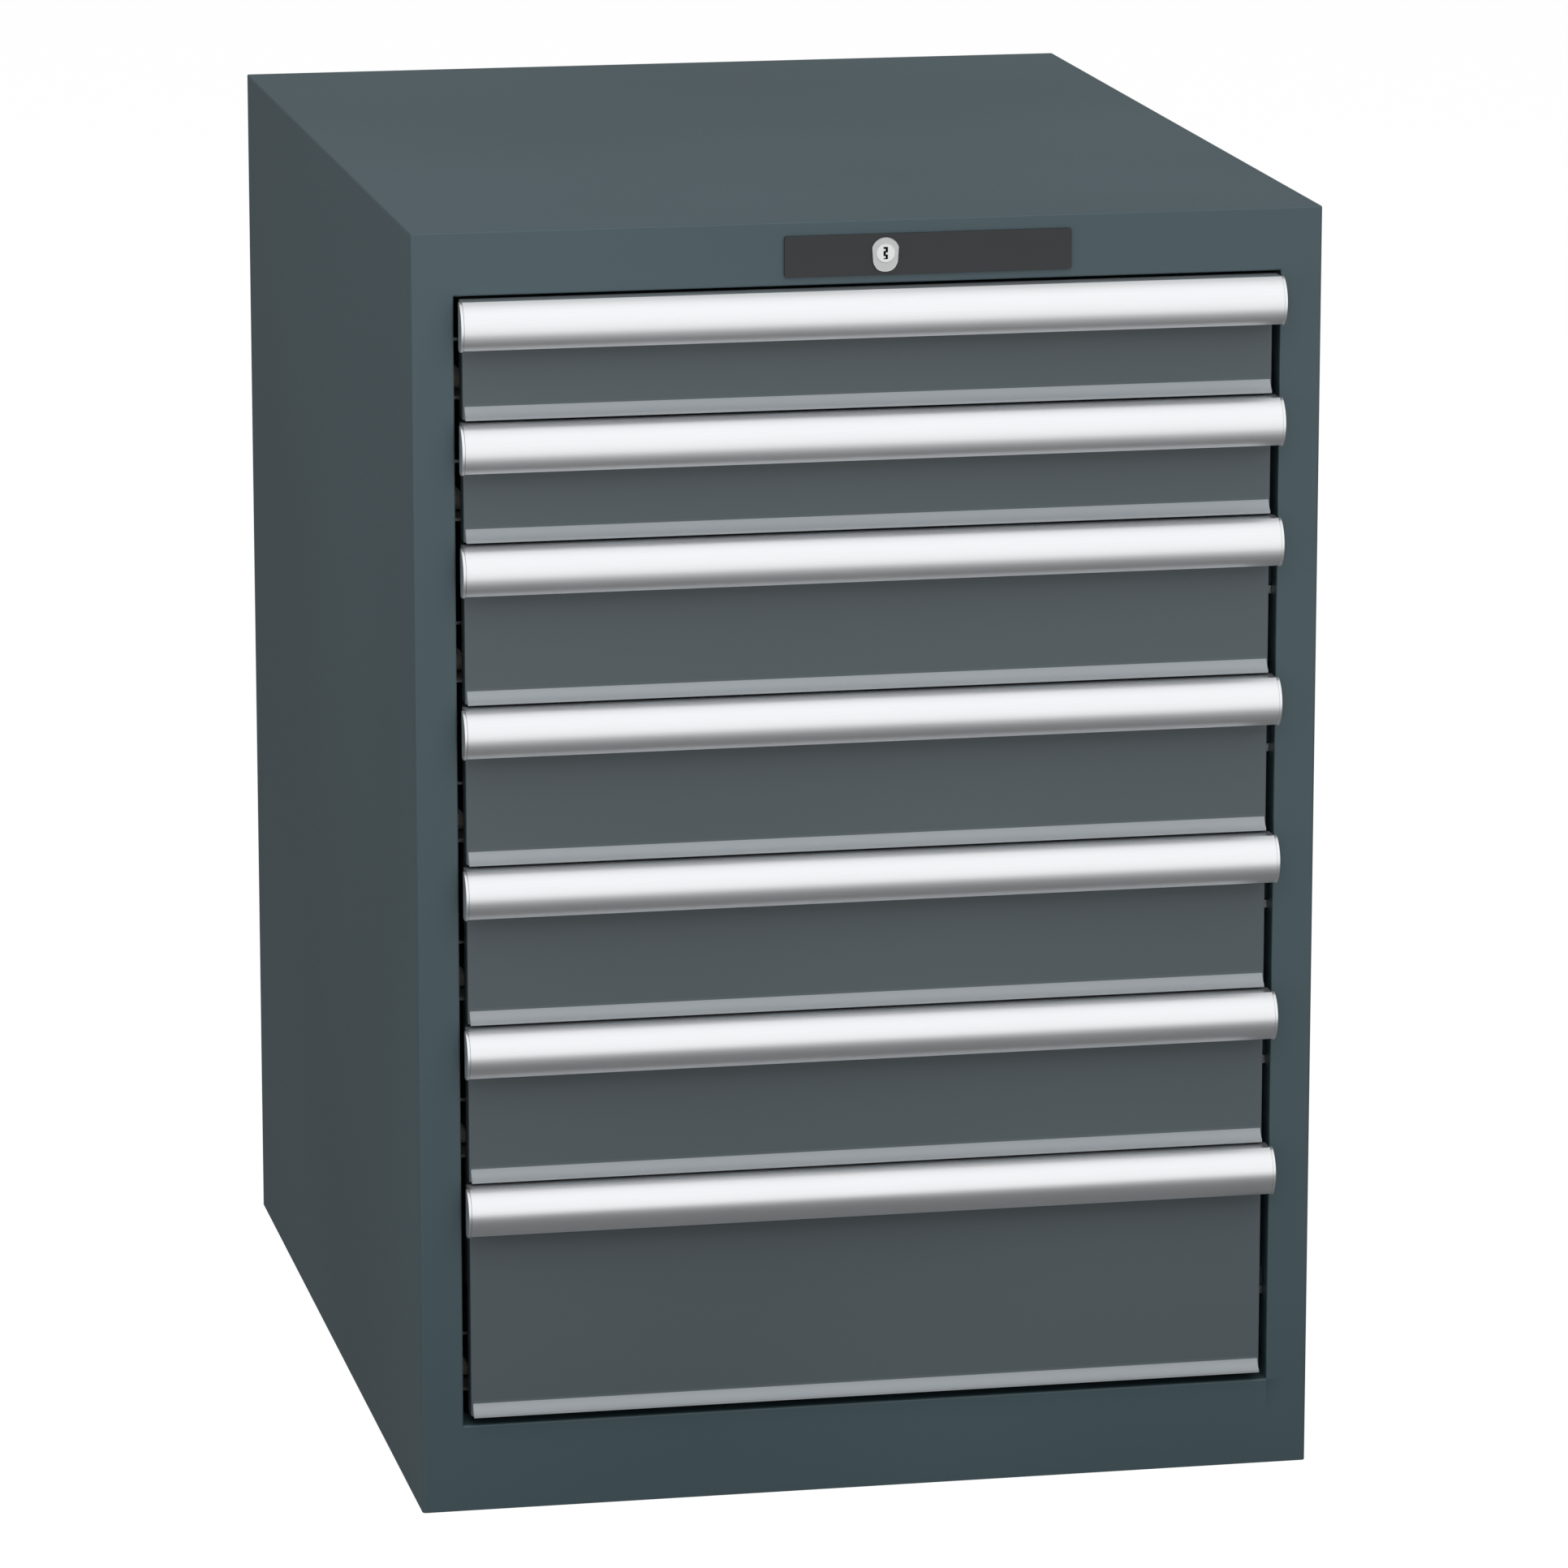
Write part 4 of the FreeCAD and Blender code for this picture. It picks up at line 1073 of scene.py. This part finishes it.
@dataclass
class Lock:
    """The lock, from the plate on the top rail to the bar in the right post.

    Attributes:
        rim: Width of the raised rim on the shield.
        dish: Depth of its face behind the rim.
        ease: Rounding of edges.
        plate_ease: Rounding of the plate's edges.
        waist_drop: Level below the key's axis at which the shield starts to taper in the solid.
        waist_reach: Distance from the axis that only the waist's corners lie beyond at that level.
        waist_shift: Drop of the waist from there.
        foot_drop: Level at which its round foot starts in the solid.
        foot_stretch: Stretch of the round foot, across and upright.
        corner: Reach of the roundings at the shield's waist.
        slot_reach: Distance from the axis that only the slot's walls lie within.
        slot_stretch: Widening of the key's slot.
        ward_size: Reach into the slot, length and height of a ward.
        ward_levels: Each ward's side, -1 for the left, and its level above the key's axis.
    """

    rim: float = 0.8 * MM
    dish: float = 0.4 * MM
    ease: float = 0.3 * MM
    plate_ease: float = 0.45 * MM
    waist_drop: float = 3.5 * MM
    waist_reach: float = 7.2 * MM
    waist_shift: float = 2.6 * MM
    foot_drop: float = 9.2 * MM
    foot_stretch: tuple[float, float] = (1.3, 0.8)
    corner: float = 1.3 * MM
    slot_reach: float = 1 * MM
    slot_stretch: float = 1.5
    ward_size: tuple[float, float, float] = (1.25 * MM, 8 * MM, 1.3 * MM)
    ward_levels: tuple[tuple[int, float], ...] = (
        (-1, 1.9 * MM), (1, -0.3 * MM), (-1, -2.5 * MM))

    def build(self) -> None:
        """Builds every piece of the lock."""
        dress_eased("lock_plate", "lock_cover_plate", "housing", BLACK_PLASTIC, self.plate_ease)
        self.shield()
        dress_eased("lock_nut", "lock_fixing_nut", "housing", NICKEL, self.ease)
        dress_eased("lock_guides", "lock_guide_blocks", "housing", BLACK_PLASTIC, self.ease)
        self.plug()
        dress_eased("lock_cam", "lock_cam_plate", "key_plug", ZINC_STEEL, self.ease)
        dress_eased("lock_slide", "lock_slide_strip", "lock_slide", ZINC_STEEL, self.ease)
        dress_eased("lock_bar", "lock_bar_strip", "lock_bar", ZINC_STEEL, self.ease)

    @staticmethod
    def axis() -> Vector:
        """Gives the middle of the key plug."""
        low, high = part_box("lock_plug")
        return (low + high) / 2

    def shield(self) -> None:
        """The lock body, whose full-footed shield has a raised rim outside and round the plug."""
        piece = copy_of("lock_body", "lock_shield")
        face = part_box("lock_body")[0].y
        key = self.axis()
        waist, foot = key.z - self.waist_drop, key.z - self.foot_drop
        with editing(piece):
            pick(piece, Element.EDGE, lambda m, d: abs(d.y) > STRAIGHT and at(m.z, waist)
                 and abs(m.x - key.x) > self.waist_reach)
            bpy.ops.transform.translate(value=(0, 0, -self.waist_shift))
            pick(piece, Element.EDGE, lambda m, d: abs(d.y) > STRAIGHT and m.z < foot + NEAR)
            bpy.ops.transform.resize(value=(self.foot_stretch[0], 1, self.foot_stretch[1]),
                                     center_override=(key.x, face, foot))
            pick(piece, Element.EDGE, lambda m, d: abs(d.y) > STRAIGHT
                 and at(m.z, waist - self.waist_shift) and abs(m.x - key.x) > self.waist_reach)
            round_picked(self.corner, Steps.CORNER)
            pick(piece, Element.FACE, lambda m, n: n.y < -STRAIGHT and at(m.y, face))
            bpy.ops.mesh.inset(thickness=self.rim, depth=-self.dish)
        ease_edges(piece, self.ease / 2)
        smooth(piece)
        dress(piece, "housing", SHIELD_NICKEL, "lock_body")

    def plug(self) -> None:
        """The plug, whose wide slot has wards from both sides, which make its profile zigzag."""
        piece = copy_of("lock_plug", "lock_key_plug")
        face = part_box("lock_plug")[0].y
        key = self.axis()
        with editing(piece):
            walls = pick(piece, Element.FACE, lambda m, n: abs(n.x) > STRAIGHT
                         and abs(m.x - key.x) < self.slot_reach)
            bpy.ops.transform.resize(value=(self.slot_stretch, 1, 1), center_override=tuple(key))
        wall = self.slot_stretch * max(abs(m.x - key.x) for m in walls)
        sunk = self.ease / 2
        ease_edges(piece, sunk)
        reach, length, tall = self.ward_size
        wards = []
        for side, level in self.ward_levels:
            bpy.ops.mesh.primitive_cube_add(size=1, location=(
                key.x + side * (wall - reach / 2 + sunk), face + sunk + length / 2, key.z + level))
            ward = bpy.context.active_object
            ward.scale = (reach + 2 * sunk, length, tall)
            settle(ward)
            wards.append(ward)
        piece = join([piece, *wards], "lock_key_plug")
        smooth(piece)
        dress(piece, "key_plug", PLUG_NICKEL, "lock_plug")


@dataclass(frozen=True)
class Lamp:
    """A soft lamp, which neither the camera nor a reflection shows.

    Attributes:
        name: Its name.
        place: Where it hangs.
        size: Its width and height.
        watts: Its power.
        aim: The point that it faces, in the middle of the cabinet.
    """

    name: str
    place: tuple[float, float, float]
    size: tuple[float, float]
    watts: float
    aim: tuple[float, float, float] = (0, 0, 0.4)

    def hang(self) -> None:
        """Hangs the lamp in its place."""
        heading = Vector(self.aim) - Vector(self.place)
        bpy.ops.object.light_add(type="AREA", location=self.place,
                                 rotation=heading.to_track_quat("-Z", "Y").to_euler())
        lamp = bpy.context.active_object
        lamp.name = self.name
        lamp.data.shape = "RECTANGLE"
        lamp.data.size, lamp.data.size_y = self.size
        lamp.data.energy = self.watts
        lamp.visible_camera = False
        lamp.visible_glossy = False


@dataclass
class Studio:
    """Camera, lamps, world and floor.

    Attributes:
        eye: Where the camera stands.
        turn: Its turn towards +X, in degrees.
        dip: Its tilt below the horizon, in degrees.
        lens: Its focal length, in millimetres.
        sensor: Width of its sensor, in millimetres.
        sight: Distance to which it sees.
        lamps: The lamps.
        ambient: Strength of the world for light on the object.
        world_gloss: Strength of the world in reflections, before the cabinet and behind it.
        world_turn: Shares of Y in a direction at which the world is dim and bright.
        floor_gloss: Strength of the floor in reflections, before the cabinet and behind it.
        floor_turn: Places along Y up to which the floor is bright and from which it is dim.
        floor_grey: The floor's reflectance for light on the object.
        floor_white: Its strength as the camera sees it, and the share of that against its shadow.
        floor_reach: Half the side of the floor.
        floor_drop: Its distance below the cabinet.
    """

    eye: tuple[float, float, float] = (-1.0164, -5.1530, 1.5489)
    turn: float = 11.360
    dip: float = 12.643
    lens: float = 187.73
    sensor: float = 36
    sight: float = 100
    lamps: tuple[Lamp, ...] = (
        Lamp("front_lamp", (0.3, -2.3, 2.9), (4.4, 3.2), 62),
        Lamp("fill_lamp", (-0.95, -4.8, 1.3), (1.4, 1.4), 16),
        Lamp("top_lamp", (0.3, 0.2, 3.6), (5.0, 5.0), 31),
        Lamp("side_lamp", (-3.2, -1.2, 1.2), (3.2, 2.4), 28),
        Lamp("right_lamp", (3.2, 0.8, 1.4), (3.0, 2.4), 26),
        Lamp("back_lamp", (0.3, 3.6, 1.7), (6.0, 1.4), 8),
    )
    ambient: float = 0.28
    world_gloss: tuple[float, float] = (1.08, 0.2)
    world_turn: tuple[float, float] = (0.95, -0.6)
    floor_gloss: tuple[float, float] = (1.0, 0.14)
    floor_turn: tuple[float, float] = (-2.4, -0.5)
    floor_grey: float = 0.5
    floor_white: tuple[float, float] = (1.2, 0.8)
    floor_reach: float = 9.0
    floor_drop: float = 0.2 * MM

    def build(self) -> None:
        """Sets up the whole studio."""
        bpy.context.scene.view_settings.view_transform = "Standard"
        self.camera()
        self.world()
        self.floor()
        for lamp in self.lamps:
            lamp.hang()

    def camera(self) -> None:
        """Sets the camera at the photograph's viewing angle."""
        bpy.ops.object.camera_add(
            location=self.eye, rotation=(math.radians(90 - self.dip), 0, math.radians(-self.turn)))
        camera = bpy.context.active_object
        camera.data.sensor_width = self.sensor
        camera.data.lens = self.lens
        camera.data.clip_end = self.sight
        bpy.context.scene.camera = camera

    def world(self) -> None:
        """Makes a world that is seen as white, and mirrored bright in front and dim behind."""
        world = bpy.data.worlds.new("studio")
        bpy.context.scene.world = world
        world.use_nodes = True
        sheet = NodeSheet(world.node_tree)
        seen = sheet.node("ShaderNodeLightPath", output="Is Camera Ray")
        glass = sheet.node("ShaderNodeLightPath", output="Is Transmission Ray")
        gloss = sheet.node("ShaderNodeLightPath", output="Is Glossy Ray")
        heading = sheet.node("ShaderNodeTexCoord", output="Generated")
        along = sheet.node("ShaderNodeSeparateXYZ", {}, {"Vector": heading}, output="Y")
        near, far = self.world_gloss
        mirrored = along.between(*self.world_turn) * (near - far) + far
        strength = (self.ambient + seen.larger(glass) * (1 - self.ambient)
                    + gloss * (mirrored - self.ambient))
        light = sheet.node("ShaderNodeBackground", {}, {
            "Color": (1, 1, 1, 1), "Strength": strength})
        sheet.node("ShaderNodeOutputWorld", {}, {"Surface": light})

    def floor(self) -> None:
        """Lays a pale floor that keeps a soft shadow, mirrored bright in front and dim behind."""
        bpy.ops.mesh.primitive_plane_add(
            size=2 * self.floor_reach, location=(0, 0, -self.floor_drop))
        floor = bpy.context.active_object
        floor.name = "studio_floor"
        finish = bpy.data.materials.new("studio_floor_finish")
        finish.use_nodes = True
        sheet = NodeSheet(finish.node_tree)
        seen = sheet.node("ShaderNodeLightPath", output="Is Camera Ray")
        gloss = sheet.node("ShaderNodeLightPath", output="Is Glossy Ray")
        grey = (self.floor_grey, self.floor_grey, self.floor_grey, 1)
        matt = sheet.node("ShaderNodeBsdfDiffuse", {}, {"Color": grey})
        near, far = self.floor_gloss
        mirrored = sheet.depth().between(*self.floor_turn) * (far - near) + near
        white, share = self.floor_white
        glow = sheet.node("ShaderNodeEmission", {}, {
            "Color": (1, 1, 1, 1), "Strength": seen * white + gloss * mirrored})
        surface = sheet.node("ShaderNodeMixShader", {}, {0: seen * share + gloss, 1: matt, 2: glow})
        sheet.node("ShaderNodeOutputMaterial", {}, {"Surface": surface})
        floor.data.materials.append(finish)


def build_drawers() -> None:
    """Builds the drawers. Trays of the same height are modelled once and copied."""
    models: dict[float, tuple[bpy.types.Object, str]] = {}
    count = sum(body.startswith("drawer_") for body in frame["bodies"])
    for number in range(1, count + 1):
        node = "drawer_%d_tray" % number
        low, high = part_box(node)
        tall = round(high.z - low.z, 4)
        name = "drawer_%d_slotted_tray" % number
        if tall in models:
            model, source = models[tall]
            tray = twin(model, name, Vector((0, 0, low.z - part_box(source)[0].z)))
        else:
            tray = Tray().build(node, name)
            models[tall] = (tray, node)
        Drawer(number).build(tray)


def main() -> None:
    """Builds the studio and the cabinet."""
    logging.basicConfig(level=logging.INFO, format="%(name)s: %(message)s")
    Studio().build()
    Housing().build()
    build_drawers()
    Lock().build()


if __name__ == "__main__":
    main()
